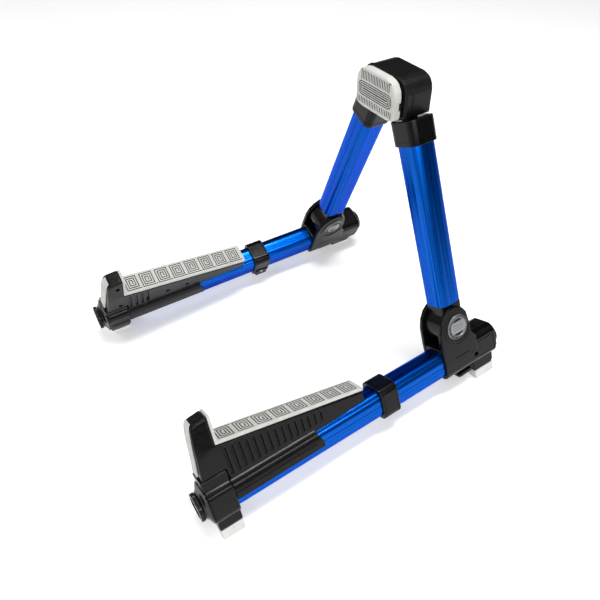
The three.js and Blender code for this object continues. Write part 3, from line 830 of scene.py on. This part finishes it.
def badge(node, facing):
    """Round trim over a fold pin: a dark ring with silver ticks, a lined band and two dark crescents."""
    trim = size(node)
    radius = (trim.f1 - trim.f0) / 2
    inner, outer = sorted((abs(trim.n0), abs(trim.n1)))
    face = outer - 0.55
    dish = radius - 3.9
    base = turned(
        [(0.02, inner), (radius, inner), (radius, outer - 0.5), (radius - 0.5, outer),
         (dish + 0.5, outer), (dish, face), (0.02, face)], "n", count=72,
    )
    half = 0.54 * dish
    band_outline = [point for point in circle(dish - 0.15, count=72) if abs(point[1]) <= half]
    band = prism(band_outline, "n", face - 0.3, outer - 0.1, 0.25, 0.0)
    floor_at = face - 0.45
    mark_floor = outer - 0.35
    crescents = badge_crescents(dish, half, floor_at, outer + 1)
    marks = badge_ticks(radius, mark_floor, outer + 1) + [
        prism(rectangle(-reach, reach, v - 0.3, v + 0.3, 0.2, 2), "n", mark_floor, outer + 1)
        for reach, v in ((dish - 3.4, 0.5 * half), (dish - 2.2, 0.0), (dish - 3.4, -0.5 * half))
    ]
    made = carve(base, join=[band], cut=[together(crescents), together(marks)])

    def inlaid(centre, normal):
        crescent = abs(centre.x - floor_at) < 0.05
        ring = abs(centre.x - outer) < 0.05
        line = abs(centre.x - mark_floor) < 0.05 and math.hypot(centre.y, centre.z) < dish
        return normal.x > 0.9 and (crescent or ring or line)

    paint(made, 1, inlaid)
    if facing < 0:
        made = mirrored(made)
    on_both_legs(made, node, "base", "silver_badge", SILVER, INLAY)


def rear_cap():
    """Stepped plug in the rear end, with a grip round its edge."""
    cap = size("rear_cap")
    half = 16.4
    steps = ((14.6, cap.f0 + 3.6), (15.4, cap.f1 - 2.4), (half, cap.f1 - 1.2), (half, cap.f1))
    cone = narrowing_plug([(width, width, width * 0.6, f) for width, f in steps])
    grip = prism(gear(13.8, 13.2, 32), "f", cap.f0, cap.f0 + 4.2, 0.5)
    recess = disc(9.6, "f", cap.f0 - 1, cap.f0 + 0.8, (0, AXIS))
    slots = cross_cut("f", (0, AXIS), 3.0, CROSS_ARM, cap.f0 - 2.4, cap.f0 + 1.6)
    made = carve(cone, join=[grip], cut=[recess, slots])
    on_both_legs(made, "rear_cap", "base", "black_plastic", BLACK, bevel=0.15)


def gear(radius, root, teeth):
    """A round outline with fine rounded grips, on the base tube's axis."""
    points = []
    for i in range(teeth * 6):
        angle = 2 * math.pi * i / (teeth * 6)
        reach = root + (radius - root) * (0.5 + 0.5 * math.cos(angle * teeth)) ** 0.6
        points.append((reach * math.cos(angle), AXIS + reach * math.sin(angle)))
    return points


# ---------------------------------------------------------------- feet

def sole(node):
    """Wedge of rubber, level with the floor, its lower corners rounded, with grooves across its tread."""
    foot = size(node)
    pitch, half_groove, groove_depth = 4.0, 0.6, 0.8
    outward_z, up_z = RIGHT.matrix[2][0] / MM, RIGHT.matrix[2][2] / MM
    pivot_z = RIGHT.matrix[2][3] / MM

    def on_floor(n, above=0.0):
        return n, -(pivot_z + n * outward_z) / up_z + above

    outline = fillet([
        (foot.n0, foot.v1, 0), (*on_floor(foot.n0), 1.6),
        (*on_floor(foot.n1), 2.6), (foot.n1, foot.v1, 0),
    ], 2.0, 5)
    body = prism(outline, "f", foot.f0, foot.f1, 1.5)
    low, high = foot.n0 - 2, foot.n1 + 2
    tread = [
        on_floor(low, -2), on_floor(high, -2), on_floor(high, groove_depth), on_floor(low, groove_depth),
    ]
    count = int((foot.f1 - foot.f0 - 5) / pitch)
    first = (foot.f0 + foot.f1) / 2 - (count - 1) * pitch / 2
    grooves = []
    for i in range(count):
        f = first + i * pitch
        grooves.append(prism(tread, "f", f - half_groove, f + half_groove))
    made = carve(body, cut=[together(grooves)])
    on_both_legs(made, node, "base", "light_rubber", SOLE)


# ---------------------------------------------------------------- release latch

def release_latch():
    latch = size("release_latch")
    half = 8.5
    tab = prism(
        fillet([
            (5.2, -62.6), (5.2, -59), (-12, -56.2), (-11.4, -44), (-11.4, -19), (-14, -15.6),
            (-16.6, -21), (-16.6, -44), (-14.8, -58.4), (-14.6, -63),
        ], 0.8, 3),
        "n", -half, half, 0.6,
    )
    plate_outline = fillet([
        (5.2, -64.8), (5.2, -61.6), (-12, -60.4), (-14.6, -61), (-14.4, -65.4), (3, -65.8),
    ], 0.8, 3)
    plate = prism(plate_outline, "n", latch.n0, latch.n1, 1.0)
    grips = [
        block(-9, 9, f, f + 0.9, latch.v0 - 1, latch.v0 + 0.7) for f in (-11, -8.6, -6.2, -3.8)
    ]
    slot = block(-3.9, 3.9, -18, -10, -46, -38)
    made = carve(tab, join=[plate], cut=[latch_pin_hole(), slot, together(grips)])
    on_both_legs(made, "release_latch", "latch", "black_plastic", SATIN, grain="v", bevel=0.15)


# ---------------------------------------------------------------- mid band

def mid_band():
    """Clamp round the base tube, with a lug on the inner side and a well for its screw."""
    band = size("mid_band")
    wrap = rectangle(-band.n1, band.n1, band.v0, band.v1, 8.0, 8)
    ring = prism(wrap, "f", band.f0, band.f1, 1.1)
    lug = prism(
        rectangle(band.n0, -6, band.v0 + 1.6, AXIS - 5, 1.4, 4), "f", band.f0 + 3, band.f1 - 3, 0.8,
    )
    beads = [
        pipe(inset(wrap, -2), inset(wrap, 0.35), "f", f, f + 0.8) for f in (band.f0 + 2.4, band.f1 - 3.2)
    ]
    screw = size("band_screw")
    hole = disc(SCREW_WELL, "n", band.n0 - 2, screw.n1 + GAP, centre_along("n", screw), count=32)
    made = carve(ring, cut=beads)
    made = carve(made, join=[lug], cut=[base_bore(band.f0 - 1, band.f1 + 1), hole])
    on_both_legs(made, "mid_band", "base", "black_plastic", SATIN, bevel=0.2)


def band_screw():
    screw = size("band_screw")
    centre = centre_along("n", screw)
    radius = (screw.f1 - screw.f0) / 2
    body = turned(
        [(0.05, screw.n0), (radius - 0.9, screw.n0), (radius - 0.2, screw.n0 + 0.4),
         (radius, screw.n0 + 0.9), (radius, screw.n1), (0.05, screw.n1)], "n", centre, 32,
    )
    recess = cross_cut("n", centre, 1.7, 0.4, screw.n0 - 1, screw.n0 + 1.1)
    on_both_legs(carve(body, cut=[recess]), "band_screw", "base", "bright_steel", STEEL)


# ---------------------------------------------------------------- support arm

ARM = size("arm_outer_shell")
SEAT = size("seat_pad")
FRONT = size("front_block")
ARM_N = 11.8  # half width of the arm above the base tube
TOP_N = 8.5  # half width of the upstand's top
TAPER_FROM = 15.0  # height where the upstand starts to narrow
SEAT_FRONT = (284.6, 16.0)
SEAT_REAR = (131.0, -13.0)
SLOPE = (SEAT_FRONT[1] - SEAT_REAR[1]) / (SEAT_FRONT[0] - SEAT_REAR[0])
RIB_PITCH = 6.95


def seat_line(f, lift=0.0):
    return SEAT_REAR[1] + SLOPE * (f - SEAT_REAR[0]) + lift


def up_share(v):
    """0 below TAPER_FROM, 1 at the upstand's top."""
    return max(0.0, (v - TAPER_FROM) / (ARM.v1 - TAPER_FROM))


def tapered(n, f, v):
    """Narrows the upstand from the seat up to its top."""
    return n * (1 - up_share(v) * (1 - TOP_N / ARM_N)), f, v


def arm_core(inner_edge):
    """The upper part of an arm half: seat beam and upstand, with rounded outer edges."""
    front = FRONT.f0 - GAP
    saddle = FRONT.v1 + GAP
    outline = soft([
        (ARM.f0, -25, 0.6), (ARM.f0, seat_line(ARM.f0) - 1, 0.8), (*SEAT_REAR, 0),
        (*SEAT_FRONT, 1.2), (SEAT_FRONT[0] - 2, ARM.v1, 1.6), (297.0, 42.4, 4.2), (299.6, 37.5, 3.0),
        (301.7, 26, 0), (304.1, 7, 0), (ARM.f1, saddle, 0.8), (front, saddle, 0.6), (front, -34, 0),
        (190, -34, 0), (188, -28, 0),
    ], 1.0, 5)
    core = prism(outline, "n", GAP / 2, ARM_N, 2.4, low_edge=inner_edge)
    return moved(sliced(core, TAPER_FROM), tapered)


def arm_skirt():
    """The lower part of an arm half, wrapped over the base tube's shoulder."""
    front = FRONT.f0 - GAP
    full = prism(superellipse(ARM.n1, 18.0, AXIS, 128), "f", 186.5, front, 0.5)
    region = prism(
        [(184, -44), (190, -43.5), (front + 1, -43.5), (front + 1, -20), (194, -20)], "n", GAP / 2, 30,
    )
    return carve(full, keep=[region])


def arm_hollow():
    wall = 2.4
    inside = ARM_N - wall
    main = prism([
        (170, seat_line(170, -wall)), (SEAT_FRONT[0] + wall, seat_line(SEAT_FRONT[0], -wall)),
        (285.4, ARM.v1 - 4), (294.5, 38), (298.8, 26), (301.2, 7), (303.4, FRONT.v1 + wall),
        (280, FRONT.v1 + wall), (278, -22), (170, -22),
    ], "n", -1, inside)
    narrowing = 0.34
    return moved(sliced(main, TAPER_FROM), lambda n, f, v: (n * (1 - up_share(v) * narrowing), f, v))


def rib_grooves(first, last):
    """The gaps between the ribs down the flank, as thin upright slots."""
    half, bottom = 1.6, -20.0
    sections = ((-1.3, 0.9), (-0.9, 0.5), (0.2, 0.0), (1.0, 0.0))  # depth from the flank, inset
    slots = []
    f = first
    while f > last:
        top = seat_line(f, -4.6)
        if top - bottom > 3.0:
            outline = fillet([
                (f + half, bottom), (f + half, top + SLOPE * half), (f - half, top - SLOPE * half),
                (f - half, bottom),
            ], half * 0.95, 4)
            slots.append(loft([
                [(ARM_N + depth, a, b) for a, b in inset(outline, inward)] for depth, inward in sections
            ]))
        f -= RIB_PITCH
    return together(slots)


def screw_wells():
    """Deep round wells for the screws that hold the arm's halves together."""
    wells = []
    for f, v in ((289.5, 32.5), (290.5, -5.5), (258, -13), (233, -12), (208, -14)):
        wells.append(disc(2.5, "n", 5.0, 14, (f, v), count=28))
    return together(wells)


def shoulder_lines():
    """Fine grooves that follow the skirt's shoulder."""
    over = superellipse(ARM.n1 + 1, 19.0, AXIS, 128)
    under = superellipse(ARM.n1 - 0.5, 17.5, AXIS, 128)
    band = pipe(over, under, "f", 196, FRONT.f0 - GAP + 1)
    return together([
        carve(band, keep=[block(0, 30, 190, 300, v - 0.45, v + 0.45)]) for v in (-26.6, -30.4, -36.2)
    ])


def arm_half(*cuts):
    bore = base_bore(ARM.f0 - 2, FRONT.f0 + 2)
    return carve(arm_core(0.5), join=[arm_skirt()], cut=[arm_hollow(), bore, *cuts])


def arm_shells():
    first_rib = 278.6
    outer = arm_half(rib_grooves(first_rib, 176.0), shoulder_lines())
    inner = mirrored(arm_half(rib_grooves(first_rib, 255.0), screw_wells()))
    for mesh, node in ((outer, "arm_outer_shell"), (inner, "arm_inner_shell")):
        on_both_legs(mesh, node, "base", "black_plastic", BLACK, bevel=0.2)


# ---------------------------------------------------------------- light pads of the arm

PAD_THICK = 3.5


def on_seat(mesh):
    """Stands a flat drawing (n across, f along the slope, v above the pad's face) on the seat."""
    return moved(mesh, lambda n, f, v: (n, f, seat_line(f, GAP + PAD_THICK) + v))


def meander(middle, pitch, half_width):
    """A square spiral that fills one unit of the running pattern."""
    step, line, margin = 2.55, 1.15, 1.2
    left, right = -half_width, half_width
    back, front = middle - pitch / 2 + margin, middle + pitch / 2 - margin
    path = [(left, back)]
    while front - back > step and right - left > step:
        path += [(left, front), (right, front), (right, back + step)]
        left, back = left + step, back + step
        front, right = front - step, right - step
        path.append((left, back))
    return stroke(path, line)


def running_pattern(start, end):
    """The seat's grooves, from one end of the pattern to the other."""
    units, half_width, depth = 8, 8.6, 0.7
    pitch = (end - start) / units
    cuts = []
    for i in range(units):
        outline = meander(start + (i + 0.5) * pitch, pitch, half_width)
        cuts.append(on_seat(prism(outline, "v", -depth, 1.0)))
    return together(cuts)


def seat_pad():
    corner = SEAT_FRONT[0] - GAP
    half = SEAT.n1
    lift = GAP + PAD_THICK
    outline = soft([
        (SEAT.f0, seat_line(SEAT.f0, GAP), 0.4), (corner, seat_line(corner, GAP), 0.3),
        (corner - 2, SEAT.v1, 0.8), (corner - 4.6, SEAT.v1 - 0.6, 0.9),
        (corner - 3.2, seat_line(corner - 3.2, lift), 1.2),
        (SEAT.f0 + 1.5, seat_line(SEAT.f0 + 1.5, lift), 1.4),
        (SEAT.f0, seat_line(SEAT.f0, lift - 1.2), 1.0),
    ], 1.0, 4)
    body = prism(outline, "n", -half, half, 1.0)
    lip_from = TAPER_FROM + 4.4
    body = moved(sliced(body, lip_from), lambda n, f, v: tapered(n, f, v) if v > lip_from else (n, f, v))
    plan = prism(rectangle(-half - 1, half + 1, SEAT.f0, 330, 4.6, 6), "v", -60, 90)
    body = carve(body, keep=[plan])
    start, end = SEAT.f0 + 2.6, corner - 4.8
    made = carve(body, cut=[running_pattern(start, end)])
    slope = math.atan(SLOPE)
    up = Vector((0, -math.sin(slope), math.cos(slope)))

    # Painted shade: faces sunk below the pad's face inside the pattern get the dark groove colour.
    def gets_painted_groove_shade(centre, normal):
        below = seat_line(centre.y, lift) - centre.z
        inside = abs(centre.x) < 9.8 and start < centre.y < end
        return inside and normal.dot(up) > -0.3 and 0.06 < below < 0.8

    paint(made, 1, gets_painted_groove_shade)
    on_both_legs(made, "seat_pad", "base", "light_rubber", RUBBER, PAINTED_GROOVE_SHADE)


def upstand_strip():
    """Pad down the front face of the upstand, turned in over its top."""
    strip = size("upstand_strip")
    path = [
        (306.4, strip.v0), (304.1, 7), (301.7, 26), (300.3, 33), (299.2, 38), (298.0, 41), (296.2, 43),
    ]
    gap = GAP + 0.05
    sheet = prism(ribbon(path[::-1], -gap, -gap - 1.2), "n", -12, 12)
    half = prism(fillet([
        (-4.6, 46, 0), (-6.0, 38.5, 4), (-6.9, 30, 6), (-6.0, strip.v0 - 0.1, 1.6),
        (6.0, strip.v0 - 0.1, 1.6), (6.9, 30, 6), (6.0, 38.5, 4), (4.6, 46, 0),
    ], 2.0, 4), "f", 290, 315)
    made = carve(sheet, keep=[half])
    made = moved(made, lambda n, f, v: (n, f + 0.5 - 0.9 * (n / 8.2) ** 2, v))
    on_both_legs(made, "upstand_strip", "base", "light_rubber", RUBBER, bevel=0.3)


# ---------------------------------------------------------------- front end

def front_block():
    front = size("front_block")
    foot = size("front_foot")
    wrap_n = front.n1 - 0.4
    wrap = prism(round_axis(wrap_n, 19.0, 9.0), "f", front.f0, front.f1, 1.6)
    saddle_outline = fillet(symmetric([(ARM_N, AXIS, 0), (ARM_N, front.v1, 2.0)]), 2, 5)
    saddle = prism(saddle_outline, "f", front.f0, front.f1, 1.0)
    shank_n = foot.n1 + 0.4
    shank = prism(
        rectangle(-shank_n, shank_n, front.v0, AXIS, 1.6, 4), "f", foot.f0 - 0.4, foot.f1 + 0.4, 1.0,
    )
    lines = []
    for v in (-39.3, -43.2):
        outline = rectangle(wrap_n - 0.8, front.n1, v - 0.5, v + 0.5, 0.3, 3)
        lines += both_sides(prism(outline, "f", front.f0 + 1.6, front.f1 - 2.6))
    ring_floor = round_axis(wrap_n - 0.6, 18.4, 8.4)
    ring = pipe(rectangle(-22, 22, -64, -14, 9, 8), ring_floor, "f", front.f1 - 2.2, front.f1 - 1.5)
    socket = base_bore(front.f0 - 1, BASE.f1 + GAP)
    made = carve(wrap, join=[together(lines)], cut=[ring])
    made = carve(made, join=[saddle, shank], cut=[socket])
    on_both_legs(made, "front_block", "base", "black_plastic", BLACK, bevel=0.2)


def front_nose():
    """Collar that narrows from the block's section to the round disc."""
    nose = size("front_nose")
    made = narrowing_plug([
        (17.0, 18.4, 9, nose.f0), (17.0, 18.4, 9, nose.f0 + 0.5),
        (16.3, 17.5, 9.5, nose.f0 + 1.4), (14.8, 15.4, 10.3, nose.f0 + 2.6),
        (13.6, 13.8, 11, nose.f0 + 3.6), (13.2, 13.4, 11.6, nose.f1 - 0.8),
        (12.4, 12.4, 12.2, nose.f1),
    ], 10)
    on_both_legs(made, "front_nose", "base", "black_plastic", GLOSS)


def front_disc():
    """Round end plug: gripped edge, a dish and a screw in the middle."""
    plug = size("front_disc")
    radius = (plug.n1 - plug.n0) / 2
    body = prism(gear(radius, radius - 0.55, 36), "f", plug.f0, plug.f1, 0.6)
    dish = turned([(10.4, plug.f1 - 0.9), (11.0, plug.f1 + 1)], "f", (0, AXIS), 64)
    well = disc(4.4, "f", plug.f1 - 2.2, plug.f1 + 1, (0, AXIS), count=40)
    body = carve(body, cut=[dish, well])
    head = carve(
        turned(
            [(0.05, plug.f1 - 2.2), (3.9, plug.f1 - 2.2), (3.9, plug.f1 - 1.5), (3.2, plug.f1 - 0.9),
             (1.8, plug.f1 - 0.6), (0.05, plug.f1 - 0.5)], "f", (0, AXIS), 40,
        ),
        cut=[cross_cut("f", (0, AXIS), 2.2, CROSS_ARM, plug.f1 - 1.5, plug.f1 + 2.5)],
    )
    paint(head, 1, lambda centre, normal: True)
    on_both_legs(together([body, head]), "front_disc", "base", "black_plastic", SATIN, STEEL)


# ---------------------------------------------------------------- head

HOUSE = HEAD.span("head_housing")
PLATE = HEAD.span("head_front_plate")
PAD = HEAD.span("head_pad")
COVER = HEAD.span("head_rear_cover")
ROOF = HOUSE.v1  # Span names its third axis v; for the head that is z
HEAD_PIN = HEAD.span("right_head_pin")
PIN_MIDDLE = (HEAD_PIN.f0 + HEAD_PIN.f1) / 2
BOSS, BOSS_BORE = 6.5, 3.3  # radii of what holds the head pins


def house_outline(inward):
    """Front view of the housing. An inner outline runs out through the floor."""
    low = HOUSE.v0 - 20 if inward > 0 else HOUSE.v0
    knee = HOUSE.v0 - 20 if inward > 0 else HOUSE.v0 + 4.6
    return symmetric([
        (22, low, 1.5), (32 - inward, knee, 2.0),
        (32 - inward, ROOF - 13.5, 8.0), (31 - inward, ROOF - 8.5, 6.0),
        (28 - inward * 0.8, ROOF - 4, 5.0), (24 - inward * 0.6, ROOF - 1.5 - inward * 0.7, 6.0),
        (18, ROOF - inward, 8.0),
    ])


def pin_run(node, radius, y0, y1):
    """A round bar on a head pin's own axis, between two depths."""
    points = [vertex.co / MM for vertex in frame["nodes"][node].data.vertices]
    low = min(point.y for point in points)
    high = max(point.y for point in points)
    ends = []
    for chosen in (lambda y: y < low + 1.5, lambda y: y > high - 1.5):
        near = [point for point in points if chosen(point.y)]
        ends.append(sum(near, Vector()) / len(near))
    start, end = ends
    way = (end - start) / (end.y - start.y)
    turn = Vector((0, 1, 0)).rotation_difference(way)
    rings = []
    for y in (y0, y1):
        centre = start + way * (y - start.y)
        rings.append([centre + turn @ Vector((a, 0, b)) for a, b in circle(radius, count=32)])
    return loft(rings)


def pin_runs(radius, y0, y1):
    return [pin_run(side + "_head_pin", radius, y0, y1) for side in ("right", "left")]


def head_housing():
    wall = 2.8
    outline = fillet(house_outline(0), 3.0, 5)
    body = prism(outline, "f", HOUSE.f0, HOUSE.f1, 1.6)
    flange = prism(inset(outline, -0.7), "f", HOUSE.f0 + 1.4, HOUSE.f0 + 3.6, 0.7)
    flange = moved(flange, lambda x, y, z: (x, y, min(max(z, HOUSE.v0), ROOF)))
    cavity = prism(fillet(house_outline(wall), 0), "f", HOUSE.f0 + wall, HOUSE.f1 + 3)
    creases = both_sides(block(31.4, 36, HOUSE.f0 + 8.6, HOUSE.f0 + 9.4, HOUSE.v0 - 2, ROOF - 13))
    bosses = pin_runs(BOSS, HOUSE.f0 + 2.0, PIN_MIDDLE - 8.7)
    holes = pin_runs(BOSS_BORE, HOUSE.f0 + 2.0, HOUSE.f1 + 10)
    made = carve(body, join=[flange], cut=[cavity, together(creases)])
    made = carve(made, join=bosses, cut=holes)
    place(made, "head_housing", HEAD, "head", [MATT], "f", 0.2)


def head_rear_cover():
    inward = 2.8 + GAP
    outline = [(x, max(z, HOUSE.v0 + 5), r) for x, z, r in house_outline(inward)]
    plate = prism(fillet(outline, 2.0, 4), "f", COVER.f1 - 2.5, COVER.f1, 0.7, low_edge=0.2)
    ribs = [
        prism(rectangle(-15, 15, z, z + 0.9, 0.4), "f", COVER.f1 - 0.6, COVER.f1 + 1)
        for z in (ROOF - 30, ROOF - 27, ROOF - 24, ROOF - 21, ROOF - 18)
    ]
    bosses = pin_runs(BOSS, PIN_MIDDLE + 5.7, HOUSE.f1 - 0.8)
    holes = pin_runs(BOSS_BORE, COVER.f0 - 8, COVER.f1 - 0.2)
    wells = []
    for i in range(1, 5):
        screw = HEAD.span(f"head_screw_{i}")
        wells.append(disc(SCREW_WELL, "f", screw.f0 - GAP, COVER.f1 + 1, centre_along("f", screw), count=32))
    made = carve(plate, join=bosses, cut=[*holes, together(wells), together(ribs)])
    place(made, "head_rear_cover", HEAD, "head", [BLACK], "f", 0.15)


def head_screw(number):
    node = f"head_screw_{number}"
    screw = HEAD.span(node)
    centre = centre_along("f", screw)
    radius = (screw.n1 - screw.n0) / 2
    body = turned(
        [(0.05, screw.f0), (radius, screw.f0), (radius, screw.f1 - 0.7), (radius - 0.6, screw.f1 - 0.15),
         (0.05, screw.f1)], "f", centre, 32,
    )
    slots = cross_cut("f", centre, 1.6, 0.38, screw.f1 - 0.8, screw.f1 + 1)
    place(carve(body, cut=[slots]), node, HEAD, "head", [STEEL])


def pad_outline(inward):
    """Front view of the head's pad."""
    top, bottom = PAD.v1 - inward, PAD.v0 + inward
    side = PAD.n1 - inward
    return fillet(symmetric([
        (18, bottom, 3), (24.5, bottom + 1, 3), (side - 1.1, bottom + 3, 2), (side, bottom + 5.5, 3),
        (side, top - 15, 8), (side - 1.3, top - 9, 8), (side - 4.9, top - 3.8, 5),
        (side - 9.3, top - 1.2, 6), (14, top, 8),
    ]), 2.0, 4)


def head_front_plate():
    made = prism(pad_outline(PAD.n1 - PLATE.n1), "f", PLATE.f0, PLATE.f1, 0.4)
    place(made, "head_front_plate", HEAD, "head", [BLACK])


def upright_grooves(count, half_width, z0, z1, width):
    """A row of upright grooves, even distances apart."""
    pitch = 2 * half_width / (count - 1)
    row = []
    for i in range(count):
        x = -half_width + i * pitch
        row.append(rectangle(x - width / 2, x + width / 2, z0, z1, width * 0.45, 2))
    return row


def pad_grooves():
    """Groove fields over and under nested rounded slots."""
    base, groove = PAD.v0, 1.05
    outside, bottom = PAD.f0 - 2, PAD.f0 + 0.9
    outlines = upright_grooves(18, 20.6, base + 27.6, base + 36.4, groove)
    outlines += upright_grooves(20, 25.0, base + 4.0, base + 10.4, groove)
    cuts = [prism(outline, "f", outside, bottom) for outline in outlines]
    for inward in (0.0, 2.05, 4.1):
        outer = rectangle(
            -25.0 + inward, 25.0 - inward, base + 12.0 + inward, base + 25.8 - inward, 5.4 - inward, 6,
        )
        cuts.append(pipe(outer, inset(outer, groove), "f", outside, bottom))
    cuts.append(prism(rectangle(-18.9, 18.9, base + 18.2, base + 19.6, 0.6, 3), "f", outside, bottom))
    return together(cuts)


def head_pad():
    """Soft pad against the guitar's neck."""
    base = PAD.v0
    body = prism(pad_outline(0), "f", PAD.f0, PAD.f1, 0.8, low_edge=2.2)
    notches = both_sides(
        block(PAD.n1 - 2.4, PAD.n1 + 3, PAD.f1 - 3, PAD.f1 + 2, base + 11.6, base + 19.6)
    )
    made = carve(body, cut=[pad_grooves(), together(notches)])

    # Painted shade: groove floors and walls inside the groove fields get the dark groove colour.
    def gets_painted_groove_shade(centre, normal):
        reach = 26 if centre.z < base + 27 else 21.4
        inside = abs(centre.x) < reach and base + 3.6 < centre.z < base + 36.8
        return inside and normal.y < 0.3 and PAD.f0 + 0.12 < centre.y < PAD.f0 + 1.0

    paint(made, 1, gets_painted_groove_shade)
    place(made, "head_pad", HEAD, "head", [RUBBER, PAINTED_GROOVE_SHADE], "f")


# ---------------------------------------------------------------- the whole stand

def build():
    tubes()
    top_sleeve()
    hinge_knuckle()
    hinge_block()
    badge("outer_badge", 1)
    badge("inner_badge", -1)
    rear_cap()
    sole("rear_foot")
    sole("front_foot")
    release_latch()
    mid_band()
    band_screw()
    arm_shells()
    seat_pad()
    upstand_strip()
    front_block()
    front_nose()
    front_disc()
    head_housing()
    head_rear_cover()
    for number in range(1, 5):
        head_screw(number)
    head_front_plate()
    head_pad()
    for side in ("right_", "left_"):
        refinish(side + "head_knuckle", SATIN, bevel=0.5)
        for node in ("pivot_pin", "latch_pin", "latch_spring", "head_pin"):
            refinish(side + node, STEEL)


# ---------------------------------------------------------------- floor, light and camera

def floor():
    bpy.ops.mesh.primitive_plane_add(size=40)
    plane = bpy.context.object
    plane.name = "floor"
    plane.data.materials.append(plain_floor())


def area_light(name, place_at, aim, width, height, watts):
    data = bpy.data.lights.new(name, "AREA")
    data.shape = "RECTANGLE"
    data.size = width
    data.size_y = height
    data.energy = watts
    light = bpy.data.objects.new(name, data)
    light.location = place_at
    light.rotation_euler = (Vector(aim) - Vector(place_at)).to_track_quat("-Z", "Y").to_euler()
    bpy.context.scene.collection.objects.link(light)


def shaded(tree, way, colour, towards, wide, narrow, dark):
    """Darkens the surroundings round one direction, as a black screen in a studio does."""
    facing = add(
        tree, "ShaderNodeVectorMath", {0: way, 1: Vector(towards).normalized()}, operation="DOT_PRODUCT",
    ).outputs["Value"]
    low, high = math.cos(math.radians(wide)), math.cos(math.radians(narrow))
    return mix(tree, ramp(tree, facing, low, high, 0.0, 1.0), colour, dark)


def studio():
    """Soft light from a pale room, with two dark screens and three area lights."""
    world = bpy.data.worlds.new("studio")
    bpy.context.scene.world = world
    world.use_nodes = True
    tree = world.node_tree
    way = add(tree, "ShaderNodeTexCoord").outputs["Generated"]
    height = add(tree, "ShaderNodeSeparateXYZ", {0: way}).outputs["Z"]
    colour = mix(tree, ramp(tree, height, 0.1, 0.7, 0.0, 1.0), (0.50, 0.50, 0.52, 1), (1.0, 1.0, 1.0, 1))
    colour = shaded(tree, way, colour, (-0.66, 0.4, 0.64), 55, 26, (0.02, 0.02, 0.025, 1))
    colour = shaded(tree, way, colour, (0.8, 0.6, 0.12), 50, 20, (0.06, 0.06, 0.065, 1))
    background = tree.nodes["Background"]
    tree.links.new(colour, background.inputs["Color"])
    background.inputs["Strength"].default_value = 0.6
    area_light("overhead", (0.05, 0.2, 1.7), (0, 0, 0.1), 0.25, 0.9, 20)
    area_light("key", (-1.3, -1.5, 1.5), (0, 0, 0.1), 0.7, 0.5, 11)
    area_light("strip", (1.35, 0.0, 0.8), (0.1, 0, 0.05), 1.3, 0.1, 9)


def camera():
    data = bpy.data.cameras.new("camera")
    data.lens = 33.96
    data.sensor_width = 36
    data.shift_x = -0.0355
    data.shift_y = -0.0128
    data.clip_start = 0.01
    viewer = bpy.data.objects.new("camera", data)
    viewer.location = (0.40261, -0.22465, 0.52457)
    target = Vector((0, 0.04159, 0.06875))
    viewer.rotation_euler = (target - viewer.location).to_track_quat("-Z", "Y").to_euler()
    bpy.context.scene.collection.objects.link(viewer)
    bpy.context.scene.camera = viewer


camera()
build()
floor()
studio()
bpy.context.scene.view_settings.view_transform = "Standard"
